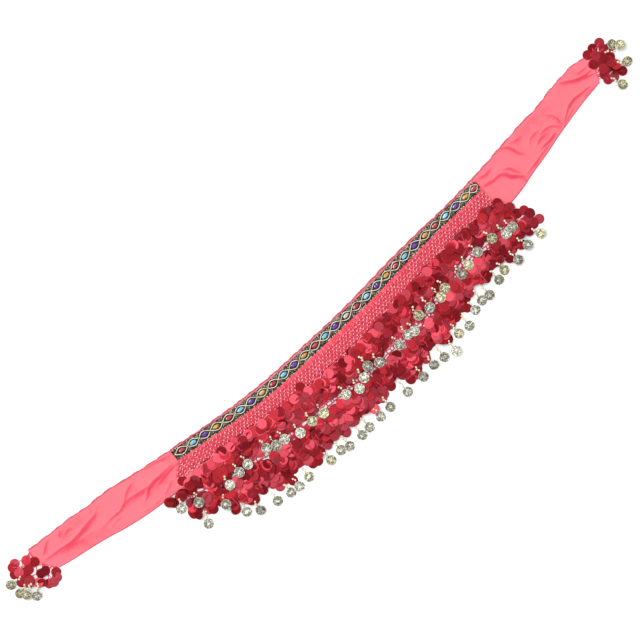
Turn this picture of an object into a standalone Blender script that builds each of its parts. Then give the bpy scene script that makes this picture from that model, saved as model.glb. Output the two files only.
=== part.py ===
"""Belly dance hip scarf laid out flat: a chiffon strip with a hip band and two ties. The band
carries a crochet header, a ribbon with oval stones, a scalloped edging, and two rows of
paillette and coin fringe, and each tie ends in a tassel.

X runs along the scarf, Y points to its upper edge, and Z is up from the surface that it lies on.
Tables and sizes are in millimetres, and the solids are in metres."""

import bpy
import bmesh
import math
import numpy as np

MM = 0.001

# Layers, bottom to top
GAP = 0.3  # between pieces that touch
CLOTH = 1.4  # the doubled chiffon
NET = 1.1
CROCHET = 1.4
RIBBON = 1.0
RIBBON_FRAME = 1.0  # the frames' height above the ribbon
STONE = 2.2
EDGING = 1.1
FOLD_ROOM = 0.5  # between the chiffon's fold and the net
CLOTH_TOP = CLOTH + GAP
HEADER_TOP = CLOTH_TOP + CROCHET

# The chiffon strip's outline: x, y along the upper and lower edges.
UPPER_EDGE = (
    (-736, 46), (-700, 43), (-660, 41), (-620, 38), (-590, 34), (-560, 33), (-530, 31),
    (-500, 25), (-460, 19), (-420, 13), (-380, 8), (-330, 0), (-280, -5), (-230, -9),
    (-150, -15), (-60, -13), (20, -11), (110, -5), (190, 2), (275, 10), (360, 12),
    (400, 16), (440, 22), (480, 27), (530, 34), (570, 39), (600, 41), (630, 46), (660, 52),
    (700, 57), (724, 58), (756, 52),
)
LOWER_EDGE = (
    (-710, -22), (-680, -28), (-640, -34), (-600, -41), (-560, -50), (-510, -58), (-480, -61),
    (-434, -64), (-380, -70), (-300, -75), (-200, -80), (-120, -83), (-40, -84), (40, -82),
    (120, -78), (220, -72), (300, -68), (380, -67), (450, -68), (480, -63), (530, -50),
    (566, -42), (606, -31), (644, -22), (690, -12), (740, -4),
)
END_BOW = {"left": 11, "right": -4}  # how far a tie's end bulges past its corners' line
END_REACH = 60  # the stretch over which the bow fades
TIE_PITCH = 15
BAND_PITCH = 28
HEADER_PITCH = 18
NET_PITCH = 20
ACROSS = 8  # faces across the strip

# The longest creases of the ties: start x, y, end x, y, height and half width
CREASES = (
    (-726, 8, -576, 26, 1.8, 9),
    (-722, 18, -690, 34, 1.2, 8),
    (-660, -8, -560, -6, 1.4, 9),
    (-600, 8, -470, -6, 1.6, 10),
    (-560, -24, -442, -14, 2.0, 10),
    (-520, -34, -462, -42, 1.5, 8),
    (-470, 10, -420, -2, 1.3, 8),
    (430, -12, 502, -44, 2.0, 10),
    (456, -6, 502, -24, 1.5, 9),
    (500, 26, 560, 8, 1.4, 9),
    (510, -40, 566, -32, 1.6, 9),
    (560, -4, 640, 6, 1.5, 9),
    (630, -16, 740, 6, 1.8, 9),
    (650, 50, 750, 24, 1.6, 9),
)

# The hip band, from its left end to its right end
BAND_LEFT = -392
BAND_RIGHT = 423
TRIM_LINE = (
    (-400, -3), (-317, -12.5), (-231, -22.5), (-148, -26.5), (-64, -25), (21, -21.5),
    (108, -17.5), (190, -10), (276, -3), (360, 0.5), (430, 4),
)
TRIM_HALF = 11.5
TRIM_INSET = 0.5  # from the band's ends to the ribbon's
HEADER_TUCK = 1  # from the ribbon's upper edge to the header's
HEADER_FOOT = (
    (-420, -42), (-360, -53), (-280, -59), (-200, -67), (-120, -75), (-40, -78), (40, -74),
    (120, -66), (220, -55), (300, -47), (360, -45), (430, -47),
)
HEADER_SLANT = 26  # how far the header's lower left corner reaches past its upper one
HEADER_FADE = 120  # the stretch over which that lean fades
NET_ENDS = (-424, 424)
CHAIN_LINE = (
    (-440, -81), (-380, -98), (-320, -110), (-270, -117), (-230, -125), (-150, -131),
    (-40, -134), (30, -134), (110, -131), (180, -124), (240, -107), (310, -97), (380, -101),
    (440, -103),
)
EDGING_WAVE = 1.2
EDGING_INSET = 2
EDGING_LINE = (
    (-384, 9), (-330, 1), (-280, -4), (-230, -8.5), (-150, -12), (-60, -10.5), (40, -7.5),
    (110, -2.5), (180, 4), (260, 9), (340, 12.5), (422, 19),
)

# The ribbon's stones along X, and the order of their colours
STONES = (
    -372, -345, -317, -290, -259, -231, -204, -176, -148, -120, -91, -64, -34, -7, 21, 52,
    79, 108, 137, 165, 191, 218, 247, 276, 303, 332, 360, 387, 411,
)
SCALLOP_STEPS = 4
STONE_ORDER = ("red", "blue", "purple", "gold")
CLEAR_STONE = 16
STONE_LONG = 13
STONE_WIDE = 7.4
STONE_CUT = ((0.8, 0.0), (1.0, 0.45), (0.55, 1.0))  # foot, girdle, table: share of size, height
STONE_SIDES = 8
FRAME_MID = 8.0  # the frame's half height at a stone
FRAME_WAIST = 1.6  # and where two frames meet
FRAME_WALL = 1.6
FRAME_OPEN = 0.5  # the half height left open at a waist
FRAME_STEPS = 4

# Coin drops: x, y of each coin's centre
UPPER_COINS = (
    (-451, -94), (-414, -107), (-345, -122), (-314, -115), (-291, -114), (-242, -115),
    (-223, -123), (-203, -125), (-171, -136), (-138, -134), (-110, -137), (-52, -138),
    (-24, -147), (-3, -137), (18, -124), (40, -134), (93, -134), (119, -130), (134, -133),
    (161, -115), (188, -118), (218, -117), (236, -109), (280, -110), (302, -105),
    (332, -97), (372, -96), (400, -108), (418, -106),
)
LOWER_COINS = (
    (-429, -152), (-377, -146), (-356, -185), (-333, -200), (-295, -209), (-264, -214),
    (-243, -216), (-216, -214), (-161, -218), (-133, -216), (-115, -221), (-81, -221),
    (-60, -219), (-29, -218), (-2, -216), (44, -216), (88, -214), (119, -210), (145, -212),
    (171, -218), (198, -196), (224, -198), (254, -182), (276, -176), (295, -178),
    (329, -168), (350, -160), (384, -163), (418, -153), (453, -153),
)
# How far down the paillettes hang: x, y
UPPER_REACH = (
    (-460, -74), (-430, -96), (-380, -104), (-330, -108), (-280, -110), (-220, -118),
    (-150, -125), (-80, -128), (0, -126), (60, -122), (130, -122), (190, -112), (250, -96),
    (310, -90), (380, -94), (460, -96),
)
LOWER_REACH = (
    (-450, -118), (-430, -138), (-400, -146), (-370, -170), (-340, -170), (-310, -187),
    (-270, -194), (-236, -200), (-182, -212), (-160, -206), (-130, -206), (-90, -207),
    (-50, -202), (0, -203), (60, -208), (100, -200), (150, -197), (190, -188), (230, -186),
    (266, -166), (310, -168), (350, -148), (400, -155), (440, -147), (470, -137),
)
COIN_RADIUS = 10.5
COIN_THICK = 1.2
COIN_LIFT = 2.6  # a coin that lies over its neighbour
COIN_ROOM = 21.8  # the least room between two coins side by side
COIN_CLEAR = 1  # between a coin and the plain string above it
DROP_HALF = 1.6  # a coin's bead string
DROP_LONG = 9
DROP_BEND = 0.35  # where along the beads the string has come to its coin's level
PITCH = 17  # between strings, where no coin sets it
SHARE = 0.475  # a string's half width, as a share of the way to its neighbour
WIDEST = 9.5
FAN_LEFT = 34  # how far the end strings lean out
FAN_RIGHT = 34
FAN_POWER = 4
STRING_STEPS = ((0.18, 1.0), (0.5, 0.88), (0.82, 1.0), (1.0, 0.6))  # share of length, width
STRING_THICK = 2.3
UPPER_RISE = 1.5  # how far the upper strings climb over the chain
BACKING = 3.0  # the upper strings' strip
LADDER = (1.6, 4.6, 1.6, 4.6, 1.6)  # rails of the chain, and its two rows of openings
COIN_TURNS = (22.5, 67.5, 112.5, 157.5)  # an eight-sided coin's corners, from its top
ROOT_SHARE = 0.8  # a root's width, as a share of its string's
END_RUNG = 3
UPPER_COIN_LIFT = 0.6
ABOVE_FLOOR = 0.4

# Tassels: each string's tip x, y, and whether a coin ends it, the way round that the fringes run
LEFT_STRINGS = (
    (-757, 56, False), (-780, 48, False), (-797, 34, False), (-807, 16, True),
    (-804, -9, True), (-796, -19, True), (-782, -35, True), (-761, -45, False),
    (-737, -43, False),
)
RIGHT_STRINGS = (
    (750, -27, False), (772, -36, True), (793, -23, False), (809, -8, True), (815, 10, False),
    (819, 27, True), (810, 40, True), (784, 62, False),
)
TASSEL_HEAD = 3.0
TASSEL_GAP = 0.6
TASSEL_END = 6  # from the head's end to its first string

COLOURS = {
    "chiffon": ((0.95, 0.16, 0.22), 0.75, 0.0),
    "edging": ((0.70, 0.07, 0.14), 0.65, 0.0),
    "crochet": ((0.88, 0.06, 0.12), 0.8, 0.0),
    "net": ((0.85, 0.05, 0.10), 0.8, 0.0),
    "ribbon": ((0.42, 0.39, 0.26), 0.4, 0.7),
    "red": ((0.50, 0.02, 0.04), 0.15, 0.0),
    "blue": ((0.16, 0.52, 0.78), 0.15, 0.0),
    "purple": ((0.10, 0.02, 0.30), 0.15, 0.0),
    "gold": ((0.66, 0.38, 0.05), 0.15, 0.0),
    "clear": ((0.66, 0.62, 0.56), 0.15, 0.0),
    "paillette": ((0.42, 0.01, 0.025), 0.25, 0.5),
}


def along(table, x):
    """The smooth curve through a table's x, y rows, read at x."""
    xs, ys = np.array(table, float).T
    slopes = np.gradient(ys, xs)
    row = int(np.clip(np.searchsorted(xs, x) - 1, 0, len(xs) - 2))
    span = xs[row + 1] - xs[row]
    t = min(max((x - xs[row]) / span, 0.0), 1.0)
    blend = t * t * (3 - 2 * t)
    lean = slopes[row] * t * (1 - t) ** 2 - slopes[row + 1] * t * t * (1 - t)
    return ys[row] + (ys[row + 1] - ys[row]) * blend + span * lean


def steps(low, high, pitch):
    return np.linspace(low, high, round((high - low) / pitch) + 1)


class Solid:
    """Points in millimetres and the faces of one closed body."""

    def __init__(self):
        self.points = []
        self.faces = []

    def ring(self, points):
        first = len(self.points)
        self.points += [tuple(map(float, p)) for p in points]
        return list(range(first, len(self.points)))

    def join(self, one, other):
        for i in range(len(one)):
            j = (i + 1) % len(one)
            self.faces.append((one[i], one[j], other[j], other[i]))

    def join_open(self, one, other):
        for i in range(len(one) - 1):
            self.faces.append((one[i], one[i + 1], other[i + 1], other[i]))

    def make(self, name, colour):
        mesh = bpy.data.meshes.new(name)
        mesh.from_pydata([[c * MM for c in p] for p in self.points], [], self.faces)
        work = bmesh.new()
        work.from_mesh(mesh)
        bmesh.ops.recalc_face_normals(work, faces=work.faces)
        work.to_mesh(mesh)
        work.free()
        part = bpy.data.objects.new(name, mesh)
        bpy.context.collection.objects.link(part)
        mesh.materials.append(material(name, *COLOURS[colour]))
        return part


def material(name, colour, roughness, metallic):
    mat = bpy.data.materials.new(name)
    mat.use_nodes = True
    shader = mat.node_tree.nodes["Principled BSDF"]
    shader.inputs["Base Color"].default_value = (*colour, 1)
    shader.inputs["Roughness"].default_value = roughness
    shader.inputs["Metallic"].default_value = metallic
    mat.diffuse_color = (*colour, 1)
    return mat


def band(name, colour, xs, across, low, high):
    """A flat strip from low to high: across(x) gives its points from one edge to the other."""
    solid = Solid()
    under, over = [], []
    for x in xs:
        line = across(x)
        under.append(solid.ring([(px, py, low) for px, py in line]))
        over.append(solid.ring([(px, py, high) for px, py in line]))
    for one, other, top, next_top in zip(under, under[1:], over, over[1:]):
        solid.join(one + top[::-1], other + next_top[::-1])
    for foot, top in ((under[0], over[0]), (under[-1], over[-1])):
        solid.join_open(foot, top)
    return solid.make(name, colour)


def crease_height(x, y):
    """How far the creases near a point lift the cloth."""
    height = 0.0
    for x0, y0, x1, y1, tall, half in CREASES:
        run = np.array((x1 - x0, y1 - y0))
        t = float(np.dot((x - x0, y - y0), run) / np.dot(run, run))
        off = math.dist((x, y), (x0, y0) + run * min(max(t, 0.0), 1.0))
        fade = math.sin(math.pi * min(max(t, 0.0), 1.0)) ** 0.5
        height = max(height, tall * fade * max(0.0, 1 - (off / half) ** 2))
    return height


def cloth_line(upper_x):
    """The points across the strip from its lower to its upper edge, at one upper-edge place."""
    left, right = UPPER_EDGE[0][0], UPPER_EDGE[-1][0]
    share = (upper_x - left) / (right - left)
    from_left = max(0.0, 1 - (upper_x - left) / END_REACH)
    from_right = max(0.0, 1 - (right - upper_x) / END_REACH)
    lower_x = upper_x + (LOWER_EDGE[0][0] - left) * from_left
    lower_x += (LOWER_EDGE[-1][0] - right) * from_right
    top = np.array((upper_x, along(UPPER_EDGE, upper_x)))
    foot = np.array((lower_x, along(LOWER_EDGE, lower_x)))
    bow = END_BOW["left"] * from_left + END_BOW["right"] * from_right
    line = []
    for s in np.linspace(0, 1, ACROSS + 1):
        x, y = foot + (top - foot) * s
        line.append((x - bow * 4 * s * (1 - s), y))
    return line


def chiffon_scarf():
    """The doubled strip, flat underneath, with its ties' creases raised on top."""
    left, right = UPPER_EDGE[0][0], UPPER_EDGE[-1][0]
    xs = [*steps(left, BAND_LEFT, TIE_PITCH), *steps(BAND_LEFT, BAND_RIGHT, BAND_PITCH)[1:-1]]
    xs += [*steps(BAND_RIGHT, right, TIE_PITCH)]
    solid = Solid()
    tops, feet = [], []
    for x in xs:
        line = cloth_line(x)
        tops.append(solid.ring([(px, py, CLOTH + crease_height(px, py)) for px, py in line]))
        at_end = x in (xs[0], xs[-1])
        under = line if at_end else (line[0], line[-1])
        feet.append(solid.ring([(px, py, 0) for px, py in under]))
    for top, next_top, foot, next_foot in zip(tops, tops[1:], feet, feet[1:]):
        for a, b, c, d in zip(top, top[1:], next_top[1:], next_top):
            solid.faces.append((a, b, c, d))
        solid.faces.append((*foot, *reversed(next_foot)))
        for side in (0, -1):
            solid.faces.append((top[side], foot[side], next_foot[side], next_top[side]))
    for top, foot in ((tops[0], feet[0]), (tops[-1], feet[-1])):
        for a, b, c, d in zip(top, top[1:], foot[1:], foot):
            solid.faces.append((a, b, c, d))
    return solid.make("chiffon_scarf", "chiffon")


def trim_edge(x, side):
    return along(TRIM_LINE, x) + side * TRIM_HALF


def crochet_header():
    """The close crochet panel, from under the ribbon down to the fringe."""

    def across(x):
        lean = HEADER_SLANT * max(0.0, 1 - (x - BAND_LEFT) / HEADER_FADE)
        foot = (x - lean, along(HEADER_FOOT, x - lean))
        return foot, (x, trim_edge(x, -1)), (x, trim_edge(x, 1) - HEADER_TUCK)

    xs = steps(BAND_LEFT, BAND_RIGHT, HEADER_PITCH)
    return band("crochet_header", "crochet", xs, across, CLOTH_TOP, HEADER_TOP)


def lower_net():
    """The net that carries the lower fringe, from the chiffon's fold down to the chain."""

    def across(x):
        foot = along(CHAIN_LINE, x) + sum(LADDER) / 2 + GAP
        return (x, foot), (x, along(LOWER_EDGE, x) - FOLD_ROOM)

    return band("lower_net", "net", steps(*NET_ENDS, NET_PITCH), across, 0, NET)


def scalloped_edging():
    """The puckered edging above the ribbon, one scallop to a stone."""
    scallop = (BAND_RIGHT - BAND_LEFT) / len(STONES)

    def across(x):
        wave = EDGING_WAVE * (2 * abs(math.sin(math.pi * (x - BAND_LEFT) / scallop)) - 1)
        return (x, trim_edge(x, 1) - HEADER_TUCK + GAP), (x, along(EDGING_LINE, x) + wave)

    xs = steps(BAND_LEFT + EDGING_INSET, BAND_RIGHT - EDGING_INSET, scallop / SCALLOP_STEPS)
    return band("scalloped_edging", "edging", xs, across, CLOTH_TOP, CLOTH_TOP + EDGING)


def frame_half(x):
    """The half height of the ribbon's oval frames at x: widest at a stone, a waist between."""
    places = np.array(STONES, float)
    middles = (places[1:] + places[:-1]) / 2
    ends = (2 * places[0] - middles[0], 2 * places[-1] - middles[-1])
    waists = np.array((ends[0], *middles, ends[1]))
    cell = int(np.clip(np.searchsorted(waists, x) - 1, 0, len(places) - 1))
    t = (x - waists[cell]) / (waists[cell + 1] - waists[cell])
    return FRAME_WAIST + (FRAME_MID - FRAME_WAIST) * math.sin(math.pi * min(max(t, 0.0), 1.0))


def ribbon_places():
    places = np.array(STONES, float)
    middles = (places[1:] + places[:-1]) / 2
    waists = [BAND_LEFT + TRIM_INSET, *middles, BAND_RIGHT - TRIM_INSET]
    xs = [waists[0]]
    for low, high in zip(waists, waists[1:]):
        xs += list(np.linspace(low, high, FRAME_STEPS + 1)[1:])
    return xs


def jewel_trim():
    """The ribbon, with two mirrored waves raised on it that frame each stone."""
    low, flat = HEADER_TOP + GAP, HEADER_TOP + GAP + RIBBON
    crest = flat + RIBBON_FRAME
    solid = Solid()
    rings = []
    for x in ribbon_places():
        y, half = along(TRIM_LINE, x), frame_half(x)
        inner = max(half - FRAME_WALL, FRAME_OPEN)
        across = (
            (-TRIM_HALF, low), (-TRIM_HALF, flat), (-half, crest), (-inner, flat),
            (inner, flat), (half, crest), (TRIM_HALF, flat), (TRIM_HALF, low),
        )
        rings.append(solid.ring([(x, y + off, z) for off, z in across]))
    for one, other in zip(rings, rings[1:]):
        solid.join(one, other)
    solid.faces += [tuple(rings[0]), tuple(rings[-1])]
    return solid.make("jewel_trim", "ribbon")


def stone(number, x):
    """One oval stone, cut with a girdle and a flat table, turned along the ribbon."""
    low = HEADER_TOP + 2 * GAP + RIBBON
    lean = math.atan2(along(TRIM_LINE, x + 1) - along(TRIM_LINE, x - 1), 2)
    middle = along(TRIM_LINE, x)
    solid = Solid()
    rings = []
    for share, lift in STONE_CUT:
        ring = []
        for turn in np.arange(STONE_SIDES) * math.tau / STONE_SIDES:
            px = share * STONE_LONG / 2 * math.cos(turn)
            py = share * STONE_WIDE / 2 * math.sin(turn)
            ring.append((
                x + px * math.cos(lean) - py * math.sin(lean),
                middle + px * math.sin(lean) + py * math.cos(lean),
                low + lift * STONE,
            ))
        rings.append(solid.ring(ring))
    for one, other in zip(rings, rings[1:]):
        solid.join(one, other)
    solid.faces += [tuple(rings[0]), tuple(rings[-1])]
    colour = STONE_ORDER[(number - 1) % len(STONE_ORDER)]
    return solid.make(f"stone_{number:02d}", "clear" if number == CLEAR_STONE else colour)


def string_places(coins, reach):
    """Where a fringe's strings end: at its coins, and evenly between them."""
    stops = [(x, (x, y, True)) for x, y in coins]
    for end, at in ((0, 0), (-1, len(stops) + 1)):
        x = reach[end][0]
        if abs(x - stops[end][0]) > PITCH / 2:
            stops.insert(at, (x, None))
    places = []
    for (x0, coin), (x1, _) in zip(stops, stops[1:]):
        count = max(round((x1 - x0) / PITCH), 1)
        places.append((x0, coin))
        places += [(x0 + (x1 - x0) * k / count, None) for k in range(1, count)]
    places.append(stops[-1])
    return [coin or (x, plain_end(x, coins, reach), False) for x, coin in places]


def plain_end(x, coins, reach):
    """How far down a string with no coin hangs: clear of the coins beside it."""
    y = along(reach, x)
    for coin_x, coin_y in coins:
        if abs(coin_x - x) < COIN_RADIUS + WIDEST:
            y = max(y, coin_y + COIN_RADIUS + COIN_CLEAR)
    return y


def root_of(x, reach):
    """The string's root above its tip at x: the end strings lean out from the band's ends."""
    share = x / (reach[-1][0] if x > 0 else reach[0][0])
    return x - (FAN_RIGHT if x > 0 else -FAN_LEFT) * share ** FAN_POWER


def way_off(point, start, end):
    """A point's distance from the straight stretch between two others."""
    run = np.array(end) - start
    t = float(np.dot(np.array(point) - start, run) / np.dot(run, run))
    return math.dist(point, start + run * min(max(t, 0.0), 1.0))


def spread(one, other):
    """How far a string reaches towards its neighbour, at its root and at its tip."""
    roots = way_off(one["root"], other["root"], other["tip"])
    root = SHARE * min(roots, way_off(other["root"], one["root"], one["tip"]))
    ends = way_off(one["end"], other["root"], other["tip"])
    tip = SHARE * min(ends, way_off(other["end"], one["root"], one["tip"]))
    if other["level"] == 0:
        tip = min(tip, way_off(other["tip"], one["root"], one["tip"]) - COIN_RADIUS - GAP)
    return min(root, WIDEST), min(max(tip, DROP_HALF), WIDEST)


def strings(roots, tips):
    """Rows with named columns: each string's root, its tip, the end of its paillettes, its
    spread to its two sides, and its coin's level."""
    rows = []
    last = None
    for root, (x, y, coin) in zip(roots, tips):
        row = {"root": root, "tip": (x, y), "end": (x, y), "level": None}
        if coin:
            back = (DROP_LONG + COIN_RADIUS) / math.dist(root, (x, y))
            row["end"] = (x + (root[0] - x) * back, y + (root[1] - y) * back)
            crowded = last and last["level"] == 0 and math.dist(last["tip"], (x, y)) < COIN_ROOM
            row["level"] = 1 if crowded else 0
            last = row
        rows.append(row)
    for i, row in enumerate(rows):
        sides = [spread(row, rows[j]) for j in (i - 1, i + 1) if 0 <= j < len(rows)]
        row["spread"] = np.array((sides[0], sides[-1])).T
    return rows


def hang(solid, ring, row, floor, rise, coin_floor):
    """One 4-sided string from its root ring down to its tip, with a coin on some."""
    start = np.array(row["root"])
    length, soft = math.dist(start, row["tip"]), math.dist(start, row["end"])
    way = (np.array(row["tip"]) - start) / length
    side = np.array((-way[1], way[0]))
    stations = []
    for share, width in STRING_STEPS:
        wide = width * (row["spread"][0] + (row["spread"][1] - row["spread"][0]) * share)
        stations.append((share * soft, wide, floor + rise * share, STRING_THICK))
    if row["level"] is not None:
        low = coin_floor + COIN_LIFT * row["level"]
        stations.append((soft + DROP_BEND * DROP_LONG, (DROP_HALF, DROP_HALF), low, COIN_THICK))
        for turn in COIN_TURNS:
            angle = math.radians(turn)
            down = length - COIN_RADIUS * math.cos(angle)
            wide = COIN_RADIUS * math.sin(angle)
            stations.append((down, (wide, wide), low, COIN_THICK))
    for down, (to_left, to_right), low, thick in stations:
        left = start + way * down - side * to_left
        right = start + way * down + side * to_right
        corners = ((*left, low), (*right, low), (*right, low + thick), (*left, low + thick))
        following = solid.ring(corners)
        solid.join(ring, following)
        ring = following
    solid.faces.append(tuple(ring))


def comb(solid, lines, spans, low, high):
    """A backing strip, and the root ring of each string. lines(s) gives its points from foot to
    head at a place along it. Every second stretch between them is an opening above each root."""
    places = [s for span in spans for s in span]
    places = [places[0] - END_RUNG, *places, places[-1] + END_RUNG]
    under = [solid.ring([(*p, low) for p in lines(s)]) for s in places]
    over = [solid.ring([(*p, high) for p in lines(s)]) for s in places]
    openings = range(1, len(under[0]) - 1, 2)
    for i in range(len(places) - 1):
        at_root = i % 2 == 1
        walls = list(zip(under[i], under[i + 1], over[i + 1], over[i]))
        for k in range(len(walls) - 1):
            if not (at_root and k in openings):
                for level in (under, over):
                    a, b = level[i], level[i + 1]
                    solid.faces.append((a[k], b[k], b[k + 1], a[k + 1]))
        solid.faces.append(walls[-1])
        if not at_root:
            solid.faces.append(walls[0])
            continue
        for k in openings:
            solid.faces += walls[k:k + 2]
            for j in (i, i + 1):
                solid.faces.append((under[j][k], under[j][k + 1], over[j][k + 1], over[j][k]))
    for j in (0, -1):
        solid.join_open(under[j], over[j])
    return [
        (under[j][0], under[j + 1][0], over[j + 1][0], over[j][0])
        for j in range(1, len(places) - 1, 2)
    ]


def fringe(name, lines, places, tips, thick, floor, rise=0.0, coin_floor=ABOVE_FLOOR):
    """A row of strings on its backing strip, which lies thick on the floor given."""
    rows = strings([lines(s)[0] for s in places], tips)
    spans = []
    for s, row in zip(places, rows):
        to_left, to_right = ROOT_SHARE * row["spread"][0]
        spans.append((s - to_left, s + to_right))
    solid = Solid()
    rings = comb(solid, lines, spans, floor, floor + thick)
    for row, ring in zip(rows, rings):
        hang(solid, ring, row, floor, rise, coin_floor)
    return solid.make(name, "paillette")


def upper_fringe():
    """The upper strings on a narrow strip along the header's foot."""

    def lines(x):
        head = along(HEADER_FOOT, x) - 2 * GAP
        return (x, head - BACKING), (x, head)

    tips = string_places(UPPER_COINS, UPPER_REACH)
    roots = [root_of(x, UPPER_REACH) for x, _, _ in tips]
    coin_floor = HEADER_TOP + UPPER_COIN_LIFT
    fringe("upper_fringe", lines, roots, tips, CROCHET, CLOTH_TOP, UPPER_RISE, coin_floor)


def lower_fringe():
    """The lower strings on the ladder chain, whose openings go through."""
    rails = np.cumsum((0, *LADDER)) - sum(LADDER) / 2

    def lines(x):
        return [(x, along(CHAIN_LINE, x) + rail) for rail in rails]

    tips = string_places(LOWER_COINS, LOWER_REACH)
    roots = [root_of(x, LOWER_REACH) for x, _, _ in tips]
    fringe("lower_fringe", lines, roots, tips, NET, ABOVE_FLOOR)


def beside(line, off):
    """A line of points moved to its right as it runs."""
    moved = []
    for i, (x, y) in enumerate(line):
        before, after = np.array(line[max(i - 1, 0)]), np.array(line[min(i + 1, len(line) - 1)])
        way = (after - before) / math.dist(before, after)
        moved.append((x + way[1] * off, y - way[0] * off))
    return np.array(moved)


def tassel(name, edge, tips):
    """A tie's end bunch: a head along the cloth's end edge, and strings that fan out of it."""
    run = np.cumsum([0, *(math.dist(a, b) for a, b in zip(edge, edge[1:]))])
    inner, outer = beside(edge, TASSEL_GAP), beside(edge, TASSEL_GAP + TASSEL_HEAD)

    def lines(s):
        return [[np.interp(s, run, line[:, axis]) for axis in (0, 1)] for line in (outer, inner)]

    places = np.linspace(TASSEL_END, run[-1] - TASSEL_END, len(tips))
    fringe(name, lines, places, tips, NET, ABOVE_FLOOR)


def recentre():
    """Puts the origin under the middle of the whole scarf."""
    parts = list(bpy.data.objects)
    points = np.array([v.co[:] for part in parts for v in part.data.vertices])
    middle = (points.min(axis=0) + points.max(axis=0)) / 2
    for part in parts:
        for v in part.data.vertices:
            v.co.x -= middle[0]
            v.co.y -= middle[1]


def main():
    for old in list(bpy.data.objects):
        bpy.data.objects.remove(old)
    chiffon_scarf()
    scalloped_edging()
    crochet_header()
    jewel_trim()
    for number, x in enumerate(STONES, 1):
        stone(number, x)
    lower_net()
    upper_fringe()
    lower_fringe()
    tassel("left_tassel", cloth_line(UPPER_EDGE[0][0])[::-1], LEFT_STRINGS)
    tassel("right_tassel", cloth_line(UPPER_EDGE[-1][0]), RIGHT_STRINGS)
    recentre()


main()
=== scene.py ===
"""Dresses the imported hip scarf: doubled chiffon, a beaded crochet band, a stone-set metallic
ribbon, two rows of paillettes and coins, and a bunch of them on each tie.

The scarf is drawn in millimetres, X along it and Y to its upper edge, and put() moves a drawing
into the frame's metres."""

import math
import random

import bmesh
import bpy
import numpy as np
from bpy.props import FloatProperty, FloatVectorProperty, IntProperty, PointerProperty
from mathutils import Euler, Matrix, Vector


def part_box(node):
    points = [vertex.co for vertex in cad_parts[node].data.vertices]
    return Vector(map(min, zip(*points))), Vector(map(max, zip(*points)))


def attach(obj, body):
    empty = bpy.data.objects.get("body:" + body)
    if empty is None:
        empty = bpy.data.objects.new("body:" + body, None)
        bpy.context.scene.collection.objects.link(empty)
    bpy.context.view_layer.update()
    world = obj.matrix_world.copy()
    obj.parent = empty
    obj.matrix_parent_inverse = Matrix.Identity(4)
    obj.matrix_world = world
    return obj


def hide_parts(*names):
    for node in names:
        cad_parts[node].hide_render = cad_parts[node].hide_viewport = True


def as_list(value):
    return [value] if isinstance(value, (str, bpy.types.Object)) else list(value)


bl_info = {
    "name": "Hip Scarf Dresser",
    "version": (1, 0, 0),
    "blender": (4, 5, 0),
    "location": "View3D > Sidebar > Hip Scarf",
    "description": "Cloth, crochet, trim, stones, paillettes and coins for a packed hip scarf",
    "category": "Add Mesh",
}

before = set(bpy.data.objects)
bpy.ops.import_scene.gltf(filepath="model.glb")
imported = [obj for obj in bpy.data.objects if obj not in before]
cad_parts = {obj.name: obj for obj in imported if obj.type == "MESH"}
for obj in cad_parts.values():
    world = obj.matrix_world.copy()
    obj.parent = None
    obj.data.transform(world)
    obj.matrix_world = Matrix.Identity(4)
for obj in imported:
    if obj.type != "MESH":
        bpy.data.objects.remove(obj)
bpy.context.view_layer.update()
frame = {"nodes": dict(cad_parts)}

MM = 0.001
# The drawing's origin, from the stone whose place on it is known
KNOWN_STONE = ("stone_15", 21.0, -21.5)
STONE_LOW, STONE_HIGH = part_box(KNOWN_STONE[0])
SHIFT = (
    (STONE_LOW.x + STONE_HIGH.x) / 2 - KNOWN_STONE[1] * MM,
    (STONE_LOW.y + STONE_HIGH.y) / 2 - KNOWN_STONE[2] * MM,
)

# The overhead view: its middle on the drawing, and how far the scarf is turned in it
VIEW_MIDDLE = (6.6, 7.6, 0.0)
VIEW_TURN = 41.2
# The flat cuts of what shows, width and length in metres
HEADER_CUT = (0.078, 0.83)
NET_CUT = (0.05, 0.86)

# The scarf's lines: x, y in millimetres
UPPER_EDGE = (
    (-736, 46), (-700, 43), (-660, 41), (-620, 38), (-590, 34), (-560, 33), (-530, 31), (-500, 25),
    (-460, 19), (-420, 13), (-380, 8), (-330, 0), (-280, -5), (-230, -9), (-150, -15), (-60, -13),
    (20, -11), (110, -5), (190, 2), (275, 10), (360, 12), (400, 16), (440, 22), (480, 27),
    (530, 34), (570, 39), (600, 41), (630, 46), (660, 52), (700, 57), (724, 58), (756, 52),
)
LOWER_EDGE = (
    (-710, -22), (-680, -28), (-640, -34), (-600, -41), (-560, -50), (-510, -58), (-480, -61),
    (-434, -64), (-380, -70), (-300, -75), (-200, -80), (-120, -83), (-40, -84), (40, -82),
    (120, -78), (220, -72), (300, -68), (380, -67), (450, -68), (480, -63), (530, -50), (566, -42),
    (606, -31), (644, -22), (690, -12), (740, -4),
)
# How far each end of the chiffon bows, and how far in from the ends its edges slant
END_BOW = (11, -4)
END_REACH = 60
# Where the band starts and ends, and the ribbon's middle line and its two edges off it
BAND_LEFT = -392
BAND_RIGHT = 423
TRIM_LINE = (
    (-400, -3), (-317, -12.5), (-231, -22.5), (-148, -26.5), (-64, -25), (21, -21.5), (108, -17.5),
    (190, -10), (276, -3), (360, 0.5), (430, 4),
)
RIBBON_TOP = 10.2
RIBBON_FOOT = -12.6
HEADER_FOOT = (
    (-420, -42), (-360, -53), (-280, -59), (-200, -67), (-120, -75), (-40, -78), (40, -74),
    (120, -66), (220, -55), (300, -47), (360, -45), (430, -47),
)
# How many times deeper the plain stitches reach along the band: x, share
PLAIN_SHARE = ((-170, 1.0), (-70, 1.65), (130, 1.65), (210, 1.0))
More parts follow.
